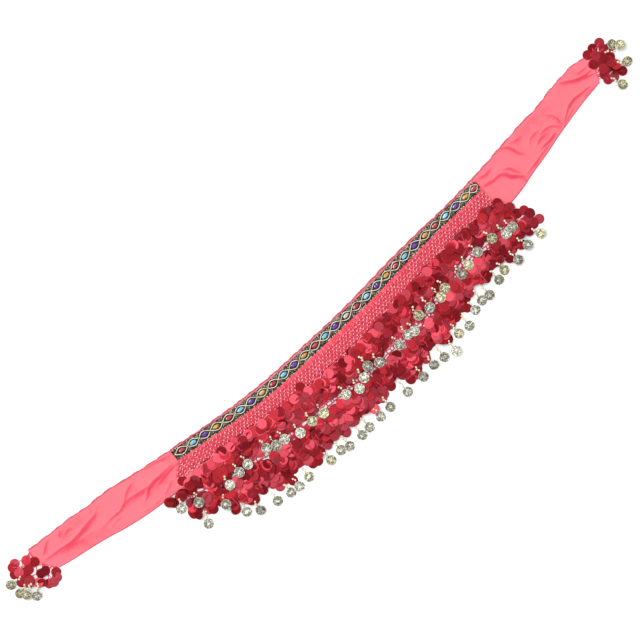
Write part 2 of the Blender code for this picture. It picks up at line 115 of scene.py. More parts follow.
# How far left the header's left end slants, and over what stretch that fades
HEADER_SLANT = 26
HEADER_FADE = 120
CHAIN_LINE = (
    (-440, -81), (-380, -98), (-320, -110), (-270, -117), (-230, -125), (-150, -131), (-40, -134),
    (30, -134), (110, -131), (180, -124), (240, -107), (310, -97), (380, -101), (440, -103),
)
# The chain's three rails, off its line
CHAIN_RAILS = (-6.7, 0.0, 6.7)
# How far to either side of the middle the net and its chain reach
NET_END = 423
EDGING_LINE = (
    (-384, 9), (-330, 1), (-280, -4), (-230, -8.5), (-150, -12), (-60, -10.5), (40, -7.5),
    (110, -2.5), (180, 4), (260, 9), (340, 12.5), (422, 19),
)
# Where the edging opens into loops: x of its start and end
LOOPED = (84, 318)
# Where the stones sit on the ribbon: x of each
STONES = (
    -372, -345, -317, -290, -259, -231, -204, -176, -148, -120, -91, -64, -34, -7, 21, 52, 79, 108,
    137, 165, 191, 218, 247, 276, 303, 332, 360, 387, 411,
)
# How far the metal waves stand off the ribbon's middle round a stone
WAVE_HALF = 7.4
STONE_ORDER = ("red", "blue", "purple", "gold")
# The one stone, counted from the left, that is clear
CLEAR_STONE = 16

# Creases of the ties: height, half width, depth of colour, then x, y along each
CREASES = (
    (2.4, 5, 0.9, ((-732, 9), (-710, 7.5), (-687, 5.5), (-660, 2.5), (-637, 4.5), (-612, 8.8),
        (-590, 12.5), (-575, 20))),
    (1.6, 6, 0.6, ((-690, 1), (-655, -1), (-625, 3), (-600, 7), (-580, 12))),
    (1.2, 4, 0.6, ((-720, 18), (-710, 25), (-700, 32), (-688, 36))),
    (0.8, 3, 0.5, ((-672, 24), (-664, 34))),
    (0.7, 3, 0.4, ((-663, 20), (-650, 24), (-640, 22))),
    (0.8, 3, 0.4, ((-597, 12), (-591, 22), (-590, 32))),
    (0.8, 6, 0.25, ((-700, 0), (-670, -4), (-640, -9), (-610, -12))),
    (1.4, 4, 0.6, ((-592, -17.5), (-565, -16), (-540, -15), (-528, -9), (-512, 3), (-495, 8.8))),
    (1.6, 7, 0.55, ((-540, -12), (-515, -10), (-490, -14), (-468, -17), (-440, -20))),
    (2.0, 4, 1.0, ((-498, -36), (-485, -30), (-477, -22), (-462, -16), (-437, -15), (-400, -14))),
    (1.0, 3, 0.7, ((-458, -27.5), (-437, -23.5), (-415, -21), (-398, -20))),
    (0.9, 3, 0.6, ((-470, -15), (-442, -19), (-400, -17.5))),
    (0.7, 3, 0.3, ((-520, -46), (-500, -51), (-480, -53), (-462, -51))),
    (0.8, 4, 0.4, ((-458, -51), (-440, -44), (-428, -38))),
    (0.8, 3, 0.4, ((-466, 20), (-430, 10), (-393, 0))),
    (0.7, 3, 0.35, ((-440, 16), (-420, 9), (-394, 5))),
    (0.7, 4, 0.35, ((-518, 2), (-502, 8), (-487, 10))),
    (0.6, 4, 0.25, ((-580, -30), (-560, -26), (-545, -30))),
    (1.6, 4, 0.7, ((426, -7), (450, -10), (467, -10), (478, -15))),
    (2.6, 5, 1.3, ((470, -11), (478, -16), (483, -25), (493, -35), (506, -47))),
    (1.2, 3, 0.7, ((478, -8), (491, -13), (497, -25), (504, -39))),
    (1.2, 4, 0.6, ((425, 16), (437, 10.5), (455, 9.5), (468, 12))),
    (0.9, 3, 0.5, ((427, -3), (438, -6), (452, -5))),
    (1.6, 5, 0.8, ((498, 31), (515, 22), (522, 10), (527, -4), (534, -14))),
    (0.9, 4, 0.35, ((515, 26), (535, 21), (552, 20))),
    (1.2, 4, 0.7, ((505, -47), (525, -42), (540, -39), (560, -34), (585, -30))),
    (0.8, 3, 0.6, ((500, -47), (501, -53), (500, -60))),
    (1.4, 3, 1.0, ((560, -27), (575, -25), (590, -24), (608, -20))),
    (0.9, 3, 0.6, ((578, -5), (595, -1.5), (612, -6.5), (624, -20))),
    (0.8, 3, 0.5, ((560, -17), (575, -10), (590, -9))),
    (1.0, 4, 0.45, ((550, -9), (560, 3), (575, 6), (590, 4))),
    (1.3, 6, 0.6, ((618, 18), (627, 5), (630, -10), (629, -24))),
    (1.8, 4, 0.9, ((628, -24), (645, -9), (660, 1), (677, 6), (700, 5), (726, 3.5))),
    (0.8, 3, 0.4, ((638, -20), (655, -11), (672, -6))),
    (2.0, 5, 1.0, ((675, 50), (690, 42), (710, 32), (730, 27), (750, 27))),
    (0.9, 3, 0.5, ((718, 25), (735, 20), (752, 15))),
    (0.8, 3, 0.4, ((716, 40), (735, 38), (752, 40))),
    (0.7, 3, 0.35, ((688, -7), (712, -3), (738, -4))),
)
# Where the chiffon lies in a second soft thickness: height, half width, x, y
SWELLS = (
    (0.8, 16, ((-700, 18), (-650, 26), (-600, 22))),
    (0.7, 14, ((-680, -12), (-620, -20), (-560, -30))),
    (0.9, 14, ((-540, -4), (-500, -10), (-450, -22), (-410, -22))),
    (0.9, 12, ((452, -8), (476, -16), (498, -36))),
    (0.7, 14, ((500, 28), (560, 22), (620, 30), (660, 36))),
    (0.7, 12, ((550, -16), (590, -12), (630, -16))),
    (0.7, 12, ((690, 46), (715, 38), (745, 30))),
)

# Coins that end a string, by row and tassel: x, y of each
COINS = {
    "upper": (
        (-451, -94), (-414, -107), (-345, -122), (-314, -115), (-291, -114), (-242, -115),
        (-223, -123), (-203, -125), (-171, -136), (-138, -134), (-110, -137), (-52, -138),
        (-24, -147), (-3, -137), (18, -124), (40, -134), (93, -134), (119, -130), (134, -133),
        (161, -115), (188, -118), (218, -117), (236, -109), (280, -110), (302, -105), (332, -97),
        (372, -96), (400, -108), (418, -106),
    ),
    "lower": (
        (-429, -152), (-377, -146), (-356, -185), (-333, -200), (-295, -209), (-264, -214),
        (-243, -216), (-216, -214), (-161, -218), (-133, -216), (-115, -221), (-81, -221),
        (-60, -219), (-29, -218), (-2, -216), (44, -216), (88, -214), (119, -210), (145, -212),
        (171, -218), (198, -196), (224, -198), (254, -182), (276, -176), (295, -178), (329, -168),
        (350, -160), (384, -163), (418, -153), (453, -153),
    ),
    "left_tassel": (
        (-807, 16), (-804, -9), (-796, -19), (-782, -35),
    ),
    "right_tassel": (
        (808, 38), (819, 27), (809, -8), (772, -36),
    ),
}
# Where the upper row hangs from: x, y
UPPER_ROOTS = (
    (-440, -68), (-412, -64), (-384, -54), (-350, -54), (-280, -59), (-200, -67), (-120, -75),
    (-40, -78), (40, -74), (120, -66), (220, -55), (300, -47), (360, -45), (410, -48), (436, -62),
)
# How far down the paillettes hang: x, y
UPPER_REACH = (
    (-460, -80), (-430, -86), (-402, -90), (-380, -104), (-330, -111), (-280, -113), (-220, -121),
    (-150, -128), (-80, -131), (0, -129), (60, -125), (130, -125), (190, -115), (250, -99),
    (310, -93), (380, -97), (444, -101),
)
LOWER_REACH = (
    (-434, -120), (-422, -131), (-404, -147), (-388, -148), (-373, -174), (-346, -173),
    (-330, -185), (-300, -191), (-270, -200), (-230, -201), (-212, -198), (-190, -208),
    (-170, -208), (-150, -199), (-130, -202), (-100, -208), (-60, -202), (0, -207), (30, -193),
    (50, -199), (72, -208), (100, -201), (135, -193), (152, -195), (170, -204), (190, -187),
    (225, -182), (250, -169), (285, -161), (310, -169), (330, -153), (350, -147), (400, -153),
    (430, -141), (452, -143), (470, -137),
)
# Paillettes that have slid off the rows' ends or up the crochet: x, y, and tone, a painted
# reflection
STRAYS = {
    "upper": (
        (-460, -68, 0.2), (-443, -73, 0.35), (-412, -53, 0.05), (-112, -67, 0.1), (382, -54, 0.05),
        (402, -64, 0.1), (424, -59, 0.35), (430, -67, 0.2), (440, -73, 0.45),
    ),
    "lower": (
        (444, -92, 0.1), (458, -96, 0.4), (464, -108, 0.2), (450, -114, 0.6), (456, -126, 0.4),
        (438, -134, 0.1), (470, -129, 0.95), (-438, -118, 0.05), (-432, -125, 0.1),
        (-432, -107, 0.6), (-428, -97, 0.9),
    ),
}
# The tassels' paillettes, bottom one first: x, y, and tone, a painted reflection from 0, dark, to
# 1, bright
TASSEL_DISCS = {
    "left_tassel": (
        (-722, -24, 0.4), (-728, -33, 0.9), (-748, -32, 0.5), (-739, -36, 0.95), (-756, -22, 0.3),
        (-762, -17, 0.85), (-736, -8, 0.0), (-745, -6, 0.1), (-772, 0, 0.5), (-788, 6, 0.15),
        (-776, -5, 0.9), (-784, 8, 0.5), (-768, 16, 0.1), (-788, 27, 0.05), (-779, 24, 0.95),
        (-760, 16, 0.15), (-774, 43, 0.9), (-782, 40, 0.4), (-752, 33, 0.5), (-741, 20, 0.0),
    ),
    "right_tassel": (
        (754, 32, 0.2), (758, 54, 0.2), (768, 22, 0.3), (774, 57, 0.1), (792, 57, 0.5),
        (802, 36, 0.5), (778, 33, 0.1), (790, 22, 0.1), (758, 2, 0.4), (778, 20, 0.2),
        (757, -10, 0.5), (782, -4, 0.1), (790, -16, 0.05), (770, -14, 0.95), (784, 12, 0.6),
        (770, 8, 0.35), (787, 2, 0.3), (790, 42, 0.4), (769, 42, 0.55), (764, 12, 0.3),
    ),
}
# The heights that the undersides of the net, of the header and edging and of the ribbon lie at
NET_LOW = 0.12
BAND_LOW = 1.75
RIBBON_LOW = 3.45
# A paillette's tone, its painted reflection from 0, dark, to 1, bright, at each drift of the tone
# field
DRIFT_TONES = ((-1.2, 0.0, 0.22, 0.48, 1.2), (0.0, 0.12, 0.38, 0.74, 0.97))
COIN_THICK = 1.3
# How wide round a cord, and round a place, the pile is raised or read
CORD_REACH = 1.4
PLACE_REACH = 1.6
# Stitches, coils and links: length, width and height
RAISED_STITCH = (6.0, 2.5, 2.2)
GROUND_STITCH = (4.6, 3.7, 1.8)
# BEAD_SHADE is the dark stitch that paints a seed bead's shadow
BEAD_SHADE = (2.8, 1.3, 1.2)
NET_STITCH = (5.4, 2.2, 1.3)
WAVE_COIL = (3.4, 2.15, 2.1)
COIL_PITCH = 2.2
LEAF = (4.0, 1.5, 1.1)
LEAF_DOT = (1.6, 1.6, 1.2)
COIN_LINK = (3.6, 2.0, 1.8)
# The highest that a coin's link and its beads may lie
HIGHEST_LINK = 15.0
HIGHEST_BEAD = 14.5


def curve_y(table, x):
    """The smooth curve through a table's x, y rows, read at a number or at an array of them."""
    xs, ys = np.array(table, float).T
    slopes = np.gradient(ys, xs)
    row = np.clip(np.searchsorted(xs, x) - 1, 0, len(xs) - 2)
    span = xs[row + 1] - xs[row]
    t = np.clip((x - xs[row]) / span, 0, 1)
    blend = t * t * (3 - 2 * t)
    lean = slopes[row] * t * (1 - t) ** 2 - slopes[row + 1] * t * t * (1 - t)
    y = ys[row] + (ys[row + 1] - ys[row]) * blend + span * lean
    return float(y) if np.isscalar(x) else y


def lean_of(table, x):
    """The turn of a table's curve at x."""
    return math.atan(curve_y(table, x + 1) - curve_y(table, x))


def swung(turn, reach):
    """A reach swung to a turn: the x and y of a place on a circle, or of a slope."""
    return reach * math.cos(turn), reach * math.sin(turn)


def turned(x, y, turn):
    """A place turned about nought."""
    return x * math.cos(turn) - y * math.sin(turn), x * math.sin(turn) + y * math.cos(turn)


def path(x, y, z):
    """A line of points, from arrays or even values of their x, y and z."""
    return np.column_stack(np.broadcast_arrays(x, y, z))


def off_line(points, line):
    """How far points lie to the left of a line of straight stretches, less than nought to its
    right, and how far along it they lie."""
    points, line = np.asarray(points, float), np.asarray(line, float)
    lengths = np.linalg.norm(np.diff(line, axis=0), axis=1)
    best, where, run = np.full(len(points), 1e9), np.zeros(len(points)), 0.0
    for start, end, length in zip(line, line[1:], lengths):
        way = (end - start) / length
        t = np.clip((points - start) @ way / length, 0, 1)
        away = points - start - t[:, None] * (end - start)
        gap = np.linalg.norm(away, axis=1)
        closer = gap < abs(best)
        left = way[0] * away[:, 1] - way[1] * away[:, 0] >= 0
        best[closer] = np.where(left, gap, -gap)[closer]
        where[closer] = (run + t[closer] * length) / lengths.sum()
        run += length
    return best, where


def softened(line, count=8):
    """A line of points with its corners rounded."""
    line = np.asarray(line, float)
    run = np.concatenate([[0], np.cumsum(np.linalg.norm(np.diff(line, axis=0), axis=1))])
    fine = np.linspace(0, run[-1], count * (len(line) - 1) + 1)
    return np.stack([curve_y(list(zip(run, line[:, k])), fine) for k in range(2)], axis=1)


def linear(code):
    """An sRGB hex colour as linear red, green and blue."""
    channels = [int(code[i:i + 2], 16) / 255 for i in (0, 2, 4)]
    return tuple(c / 12.92 if c <= 0.04045 else ((c + 0.055) / 1.055) ** 2.4 for c in channels)


# Meshes


def put(points):
    """Millimetres on the drawing to metres in the frame."""
    return np.asarray(points, float) * MM + np.array((*SHIFT, 0.0))


def mesh_piece(name, points, faces, smooth=True, values=(), edges=()):
    """A mesh object from points in millimetres. values names numbers for its points."""
    mesh = bpy.data.meshes.new(name)
    mesh.from_pydata(put(points).tolist(), edges, faces)
    for key, numbers in dict(values).items():
        numbers = np.asarray(numbers, float)
        kind, field = ("FLOAT_VECTOR", "vector") if numbers.ndim == 2 else ("FLOAT", "value")
        mesh.attributes.new(key, kind, "POINT").data.foreach_set(field, numbers.ravel())
    if smooth and faces:
        mesh.polygons.foreach_set("use_smooth", [True] * len(mesh.polygons))
    piece = bpy.data.objects.new(name, mesh)
    bpy.context.scene.collection.objects.link(piece)
    return piece


def outward(piece):
    """Turns a closed mesh's faces outwards."""
    work = bmesh.new()
    work.from_mesh(piece.data)
    bmesh.ops.recalc_face_normals(work, faces=work.faces)
    work.to_mesh(piece.data)
    work.free()
    return piece


def finish_piece(piece, finish=None, replaced=()):
    """Gives a piece its material and its body, and hides the nodes that it stands for."""
    if finish:
        piece.data.materials.append(finish)
    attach(piece, "root")
    if replaced:
        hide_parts(*replaced)
    return piece


def shell(name, finish, node, grid, height, low, values=()):
    """A closed thin sheet that stands for a node: a grid of x and y, the heights of its top and
    of its underside, and named values for the grid's points."""
    rows, columns = grid.shape[:2]
    layers = [np.dstack([grid, np.broadcast_to(z, (rows, columns))]) for z in (height, low)]
    count = rows * columns
    at = np.arange(count).reshape(rows, columns)
    foot = at + count
    faces = []
    for i in range(rows - 1):
        for j in range(columns - 1):
            faces.append((at[i, j], at[i + 1, j], at[i + 1, j + 1], at[i, j + 1]))
            faces.append((foot[i, j], foot[i, j + 1], foot[i + 1, j + 1], foot[i + 1, j]))
    rim = [*at[:, 0], *at[-1, 1:], *at[-2::-1, -1], *at[0, -2:0:-1]]
    for a, b in zip(rim, [*rim[1:], rim[0]]):
        faces.append((b, a, a + count, b + count))
    faces = [tuple(int(i) for i in face) for face in faces]
    doubled = {
        key: np.tile(np.broadcast_to(value, (rows, columns)).ravel(), 2)
        for key, value in dict(values).items()
    }
    points = np.concatenate([layer.reshape(-1, 3) for layer in layers])
    piece = outward(mesh_piece(name, points, faces, values=doubled))
    return finish_piece(piece, finish, [node])


# Nodes


def add(tree, kind, inputs=(), stops=(), **settings):
    """Adds a node with its settings, and fills or links its inputs by name or number. stops are
    a colour ramp's places and colours."""
    node = tree.nodes.new(kind)
    for key, value in settings.items():
        setattr(node, key, value)
    elements = node.color_ramp.elements if stops else ()
    for _ in stops[2:]:
        elements.new(0.5)
    for element, (place, tint) in zip(elements, stops):
        element.position = place
        element.color = (*tint, 1)
    for key, value in dict(inputs).items():
        if isinstance(value, bpy.types.NodeSocket):
            tree.links.new(value, node.inputs[key])
        else:
            node.inputs[key].default_value = value
    return node


def new_tree(name, sizes):
    """An empty Geometry Nodes tree with named inputs for its sizes, and its input node."""
    tree = bpy.data.node_groups.new(name, "GeometryNodeTree")
    sockets = [("Geometry", "Geometry")]
    sockets += [(key, "Int" if isinstance(value, int) else "Float") for key, value in sizes.items()]
    for key, kind in (*sockets, ("Finish", "Material"), ("Shape", "Object")):
        socket = tree.interface.new_socket(key, in_out="INPUT", socket_type="NodeSocket" + kind)
        if key in sizes:
            socket.default_value = sizes[key]
    tree.interface.new_socket("Geometry", in_out="OUTPUT", socket_type="NodeSocketGeometry")
    return tree, add(tree, "NodeGroupInput")


def close_tree(tree, given, geometry):
    """Ends a tree in Realize Instances and Set Material."""
    real = add(tree, "GeometryNodeRealizeInstances", {"Geometry": geometry})
    named = {"Geometry": real.outputs[0], "Material": given.outputs["Finish"]}
    painted = add(tree, "GeometryNodeSetMaterial", named)
    add(tree, "NodeGroupOutput", {"Geometry": painted.outputs[0]})
    return tree


def on_points(tree, given, shape):
    """Puts a shape on each point, turned and sized by the points' own values."""
    turn, size = (
        add(tree, "GeometryNodeInputNamedAttribute", {"Name": key}, data_type="FLOAT_VECTOR")
        for key in ("turn", "size")
    )
    euler = add(tree, "FunctionNodeEulerToRotation", {"Euler": turn.outputs["Attribute"]})
    placed = add(tree, "GeometryNodeInstanceOnPoints", {
        "Points": given.outputs["Geometry"], "Instance": shape,
        "Rotation": euler.outputs[0], "Scale": size.outputs["Attribute"],
    })
    return placed.outputs[0]


def bead_tree():
    """Beads, or longer grains where their size stretches them."""
    tree, given = new_tree("Beads on points", {"Diameter": 0.003, "Segments": 8, "Rings": 5})
    half = add(tree, "ShaderNodeMath", {0: given.outputs["Diameter"], 1: 0.5}, operation="MULTIPLY")
    ball = add(tree, "GeometryNodeMeshUVSphere", {
        "Segments": given.outputs["Segments"], "Rings": given.outputs["Rings"],
        "Radius": half.outputs[0],
    })
    smooth = add(tree, "GeometryNodeSetShadeSmooth", {"Geometry": ball.outputs["Mesh"]})
    return close_tree(tree, given, on_points(tree, given, smooth.outputs[0]))


def shape_tree():
    """A made shape on each point, such as a coin."""
    tree, given = new_tree("Shape on points", {})
    shape = add(tree, "GeometryNodeObjectInfo", {"Object": given.outputs["Shape"]})
    return close_tree(tree, given, on_points(tree, given, shape.outputs["Geometry"]))


def cord_tree():
    """A round cord along each line."""
    tree, given = new_tree("Cords on lines", {"Diameter": 0.002, "Sides": 6})
    half = add(tree, "ShaderNodeMath", {0: given.outputs["Diameter"], 1: 0.5}, operation="MULTIPLY")
    line = add(tree, "GeometryNodeMeshToCurve", {"Mesh": given.outputs["Geometry"]})
    ring = add(tree, "GeometryNodeCurvePrimitiveCircle", {
        "Resolution": given.outputs["Sides"], "Radius": half.outputs[0],
    })
    cord = add(tree, "GeometryNodeCurveToMesh", {
        "Curve": line.outputs[0], "Profile Curve": ring.outputs[0], "Fill Caps": True,
    })
    smooth = add(tree, "GeometryNodeSetShadeSmooth", {"Geometry": cord.outputs[0]})
    return close_tree(tree, given, smooth.outputs[0])


TREES = {}


def grown(piece, maker, **inputs):
    """Runs a tree on a piece's points or lines, and keeps what it makes as a plain mesh."""
    if maker not in TREES:
        TREES[maker] = maker()
    tree = TREES[maker]
    worker = piece.modifiers.new(tree.name, "NODES")
    worker.node_group = tree
    for item in tree.interface.items_tree:
        if item.in_out == "INPUT" and item.name in inputs:
            worker[item.identifier] = inputs[item.name]
    graph = bpy.context.evaluated_depsgraph_get()
    mesh = bpy.data.meshes.new_from_object(
        piece.evaluated_get(graph), preserve_all_data_layers=True, depsgraph=graph
    )
    piece.modifiers.clear()
    points, piece.data = piece.data, mesh
    bpy.data.meshes.remove(points)
    mesh.name = piece.name
    for key in ("turn", "size"):
        if key in mesh.attributes:
            mesh.attributes.remove(mesh.attributes[key])


def scatter(name, finish, rows, segments=6, rings=4, shape=None, replaced=()):
    """A piece of many beads, or of the shape given. Each row is a place, a turn, a size and a
    tone, and a bead's size is in millimetres."""
    places, *marks = (np.array(part, float) for part in zip(*rows))
    piece = mesh_piece(name, places, [], values=zip(("turn", "size", "tone"), marks))
    if shape:
        grown(piece, shape_tree, Finish=finish, Shape=shape)
    else:
        grown(piece, bead_tree, Finish=finish, Diameter=MM, Segments=segments, Rings=rings)
    return finish_piece(piece, None, replaced)


def cords(name, finish, lines, diameter, tones=None, sides=5):
    """A piece of round cords along lines of points in millimetres, each with its tone."""
    points, edges, values = [], [], []
    for line, tone in zip(lines, tones or [0.5] * len(lines)):
        first = len(points)
        points += [tuple(p) for p in line]
        edges += [(k, k + 1) for k in range(first, len(points) - 1)]
        values += [tone] * len(line)
    piece = mesh_piece(name, points, [], values={"tone": values}, edges=edges)
    grown(piece, cord_tree, Finish=finish, Diameter=diameter * MM, Sides=sides)
    return finish_piece(piece)


# Settings


def colour(label, code, about):
    """A colour setting, given as sRGB hex."""
    return FloatVectorProperty(
        name=label, description=about, subtype="COLOR", size=3, min=0, max=1, default=linear(code)
    )


def length(label, millimetres, about):
    """A length setting, given in millimetres."""
    return FloatProperty(name=label, description=about, unit="LENGTH", default=millimetres * MM)


class ScarfCloth(bpy.types.PropertyGroup):
    chiffon: colour("Chiffon", "F46E7C", "The doubled chiffon where it lies flat")
    # The crease colour stands for the doubled layers in a crease and also for the painted shade
    # beside it
    crease: colour("Crease", "F2405C", "The chiffon where a crease doubles it again")
    overlock: colour("Overlock thread", "D04A62", "The thread along the upper edge")
    thickness: length("Thickness", 1.1, "How thick the doubled chiffon lies")
    stitch: length("Overlock pitch", 2.8, "From one overlock stitch to the next")


class ScarfCrochet(bpy.types.PropertyGroup):
    yarn: colour("Yarn", "F2425C", "The crochet's raised stitches")
    shade: colour("Between stitches", "D42046", "The crochet's ground between its stitches")
    edging: colour("Edging", "C63E58", "The puckered edging's outer thread")
    # The edging fold's pale colour is a painted highlight along the fold
    inner: colour("Edging fold", "F0808C", "The puckered edging's fold")
    bead: colour("Seed beads", "FFB4B8", "The small beads in the crochet")
    column: length("Column pitch", 9.2, "From one column of beads to the next")
    row: length("Row pitch", 3.0, "From one row of stitches to the next")
    plain: length("Plain depth", 6.5, "How deep the plain stitches reach at the band's ends")
    bead_size: length("Seed bead", 3.2, "The seed beads' diameter")


class ScarfTrim(bpy.types.PropertyGroup):
    ground: colour("Ribbon ground", "54402E", "The blackened ground of the ribbon")
    frame: colour("Frame ground", "1C1216", "The ground round the stones")
    thread: colour("Metal thread", "ECE0BE", "The raised metal thread")
    red: colour("Red stone", "B01E2C", "Stones 1, 5, 9 and on")
    blue: colour("Blue stone", "74BCD4", "Stones 2, 6, 10 and on")
    purple: colour("Purple stone", "5A1E92", "Stones 3, 7, 11 and on")
    gold: colour("Gold stone", "C4902C", "Stones 4, 8, 12 and on")
    clear: colour("Clear stone", "C4B4A6", "The one clear stone")
    long: length("Stone length", 15.4, "The stones' length")
    wide: length("Stone width", 8.2, "The stones' width")


class ScarfFringe(bpy.types.PropertyGroup):
    # The paillette colours are painted reflections, picked by each paillette's tone
    dark: colour("Dark paillette", "83151D", "Paillettes that turn away from the light")
    middle: colour("Middle paillette", "A42532", "Paillettes that lie flat")
    bright: colour("Bright paillette", "AE3C49", "Paillettes that turn to the light")
    coin: colour("Coin", "A8A698", "The coins' worn relief")
    tarnish: colour("Tarnish", "43453A", "The coins' hollows")
    bead: colour("Bead", "EFDCBC", "The pearl beads above the coins")
    paillette: length("Paillette", 20.5, "The paillettes' diameter")
    film: length("Film", 0.3, "The paillettes' thickness")
    coin_size: length("Coin diameter", 21, "The coins' diameter")
    bead_size: length("Bead diameter", 5.0, "The pearl beads' diameter")
    pitch: length("String pitch", 13.5, "From one string of paillettes to the next")
    seed: IntProperty(name="Seed", description="Fixes how the strings fall", default=7)


class ScarfStage(bpy.types.PropertyGroup):
    floor: colour("Floor", "FDFDFD", "The plain pale floor")
    size: length("Floor size", 9000, "The floor's side")
    key: FloatProperty(
        name="Key light", description="The large soft light", default=185, unit="POWER"
    )
    fill: FloatProperty(name="Fill", description="The even light from all round", default=0.7)
    width: length("View width", 1280, "How wide a stretch the camera sees")
    lens: FloatProperty(name="Lens", description="Focal length in millimetres", default=100)


# Materials

WHITE = (1.0, 1.0, 1.0)
# Detail and roughness of a noise: the common kind, and one without fine grains
EVEN = (2.0, 0.5)
SMOOTH = (1.0, 0.5)


def material(name, tint, roughness, **sockets):
    """A material with its even values on its shader, and the tree to add to."""
    made = bpy.data.materials.new(name)
    made.use_nodes = True
    shader = made.node_tree.nodes["Principled BSDF"]
    for key, value in {"Base Color": (*tint, 1), "Roughness": roughness, **sockets}.items():
        shader.inputs[key.replace("_", " ")].default_value = value
    return made, made.node_tree


def summed(tree, first, *others):
    """A sum of parts, the first whole and each other one times its share. A part is a socket, a
    value's name, or noise on the object's own coordinates: how many millimetres apart its
    grains are, its detail and its roughness."""
    total = None
    for part, share in ((first, 1), *others):
        if isinstance(part, str):
            part = add(tree, "ShaderNodeAttribute", attribute_name=part).outputs["Fac"]
        elif isinstance(part, tuple):
            pitch, detail, rough = part
            place = add(tree, "ShaderNodeTexCoord").outputs["Object"]
            part = add(tree, "ShaderNodeTexNoise", {
                "Vector": place, "Scale": 1 / (pitch * MM), "Detail": detail, "Roughness": rough,
            }).outputs[0]
        if total:
            parts = {0: part, 1: share, 2: total}
            part = add(tree, "ShaderNodeMath", parts, operation="MULTIPLY_ADD").outputs[0]
        total = part
    return total


def painted(made, value, stops, wash=(), pitch=None, depth=0.0):
    """Runs a material's colour through stops of place and colour by a value. wash is the stops
    of a colour laid over it by tone. The surface is raised by noise of a pitch and a depth in
    millimetres."""
    tree = made.node_tree
    shader = tree.nodes["Principled BSDF"]
    tint = add(tree, "ShaderNodeValToRGB", {"Fac": value}, stops).outputs["Color"]
    if wash:
        over = add(tree, "ShaderNodeValToRGB", {"Fac": summed(tree, "tone")}, wash)
        colours = {0: 1.0, 6: tint, 7: over.outputs["Color"]}
        mixed = add(tree, "ShaderNodeMix", colours, data_type="RGBA", blend_type="MULTIPLY")
        tint = mixed.outputs[2]
    tree.links.new(tint, shader.inputs["Base Color"])
    if pitch:
        rise = {"Height": summed(tree, (pitch, *EVEN)), "Distance": depth * MM, "Strength": 1.0}
        bump = add(tree, "ShaderNodeBump", rise)
        tree.links.new(bump.outputs["Normal"], shader.inputs["Normal"])
    return made


def shaded(tint, factor):
    """A colour made darker or paler."""
    return tuple(min(c * factor, 1.0) for c in tint)


def chiffon_finish(cloth):
    """Doubled polyester chiffon, woven and piece-dyed: a soft even face that deepens in colour
    wherever a crease lays more sheer layers over each other, and whose fold value also carries the
    painted shade and painted highlight beside each crease."""
    made, tree = material("Chiffon_woven_and_dyed", cloth.chiffon, 0.62, Sheen_Weight=0.25)
    clouds = summed(tree, "fold", ((30, 6.0, 0.7), 0.72))
    # pale stands for the paler clouds and for the painted highlight beside creases; the crease
    # colours stand for the doubled layers and for the painted shade beside creases
    pale, deep = shaded(cloth.chiffon, 1.1), shaded(cloth.crease, 0.85)
    stops = ((0.2, pale), (0.43, cloth.chiffon), (0.74, cloth.crease), (1.0, deep))
    # Chiffon's threads are 0.2 mm apart, drawn here 1.2 mm apart, as close as can be seen
    return painted(made, clouds, stops, pitch=1.2, depth=0.14)


def thread_finish(name, tint, pale=0.12, dark=0.7, roughness=0.6):
    """Glossy spun polyester thread: each stitch's tone runs its colour from a darker tint, a
    painted shade, through its own tint to a whitened crown colour, a painted gloss highlight, and a
    fine twist runs along it."""
    made, tree = material(name, tint, roughness, Sheen_Weight=0.06)
    value = summed(tree, "tone", ((1.6, *EVEN), 0.35))
    # crown is the tint whitened by pale, a painted gloss highlight
    crown = tuple(c + (1 - c) * pale for c in tint)
    stops = ((0.0, shaded(tint, dark)), (0.6, tint), (1.0, crown))
    # The ply is 0.3 mm apart, drawn 0.9 mm apart so that it shows
    return painted(made, value, stops, pitch=0.9, depth=0.12)


def ribbon_finish(trim):
    """Woven ribbon, blackened: a dull dark ground with a few metal picks that catch light."""
    made, tree = material("Ribbon_woven_blackened", trim.ground, 0.55, Metallic=0.3)
    black, pick = shaded(trim.ground, 0.2), shaded(trim.thread, 0.55)
    stops = ((0.46, black), (0.58, trim.ground), (0.7, pick))
    return painted(made, summed(tree, (2.9, *SMOOTH)), stops, pitch=1.2, depth=0.15)


def metal_thread_finish(trim):
    """Metal thread, drawn and coiled over a core: each piece's tone runs it from brown-green
    tarnish through the thread colour up to near white, a painted glint.
    """
    made, tree = material("Metal_thread_coiled_antiqued", trim.thread, 0.38, Metallic=0.4)
    value = summed(tree, "tone", ((1.8, *EVEN), 0.3))
    # bright, near white, is a painted glint; hollow and worn are the tarnish
    hollow, worn, bright = linear("1E1A14"), linear("8A8468"), linear("FBF8E6")
    return painted(made, value, ((0.08, hollow), (0.38, worn), (0.75, trim.thread), (1.0, bright)))


def stone_finish(name, tint):
    """Acrylic stone, moulded and foil-backed: each facet is painted its own tone, from a painted
    shade through the stone's colour to white, a painted highlight, in place of the light that the
    foil throws back.
    """
    made, tree = material(name, tint, 0.06, Coat_Weight=1.0, Coat_Roughness=0.03)
    stops = ((0.0, shaded(tint, 0.22)), (0.45, tint), (0.8, shaded(tint, 1.5)), (1.0, WHITE))
    return painted(made, summed(tree, "facet"), stops)


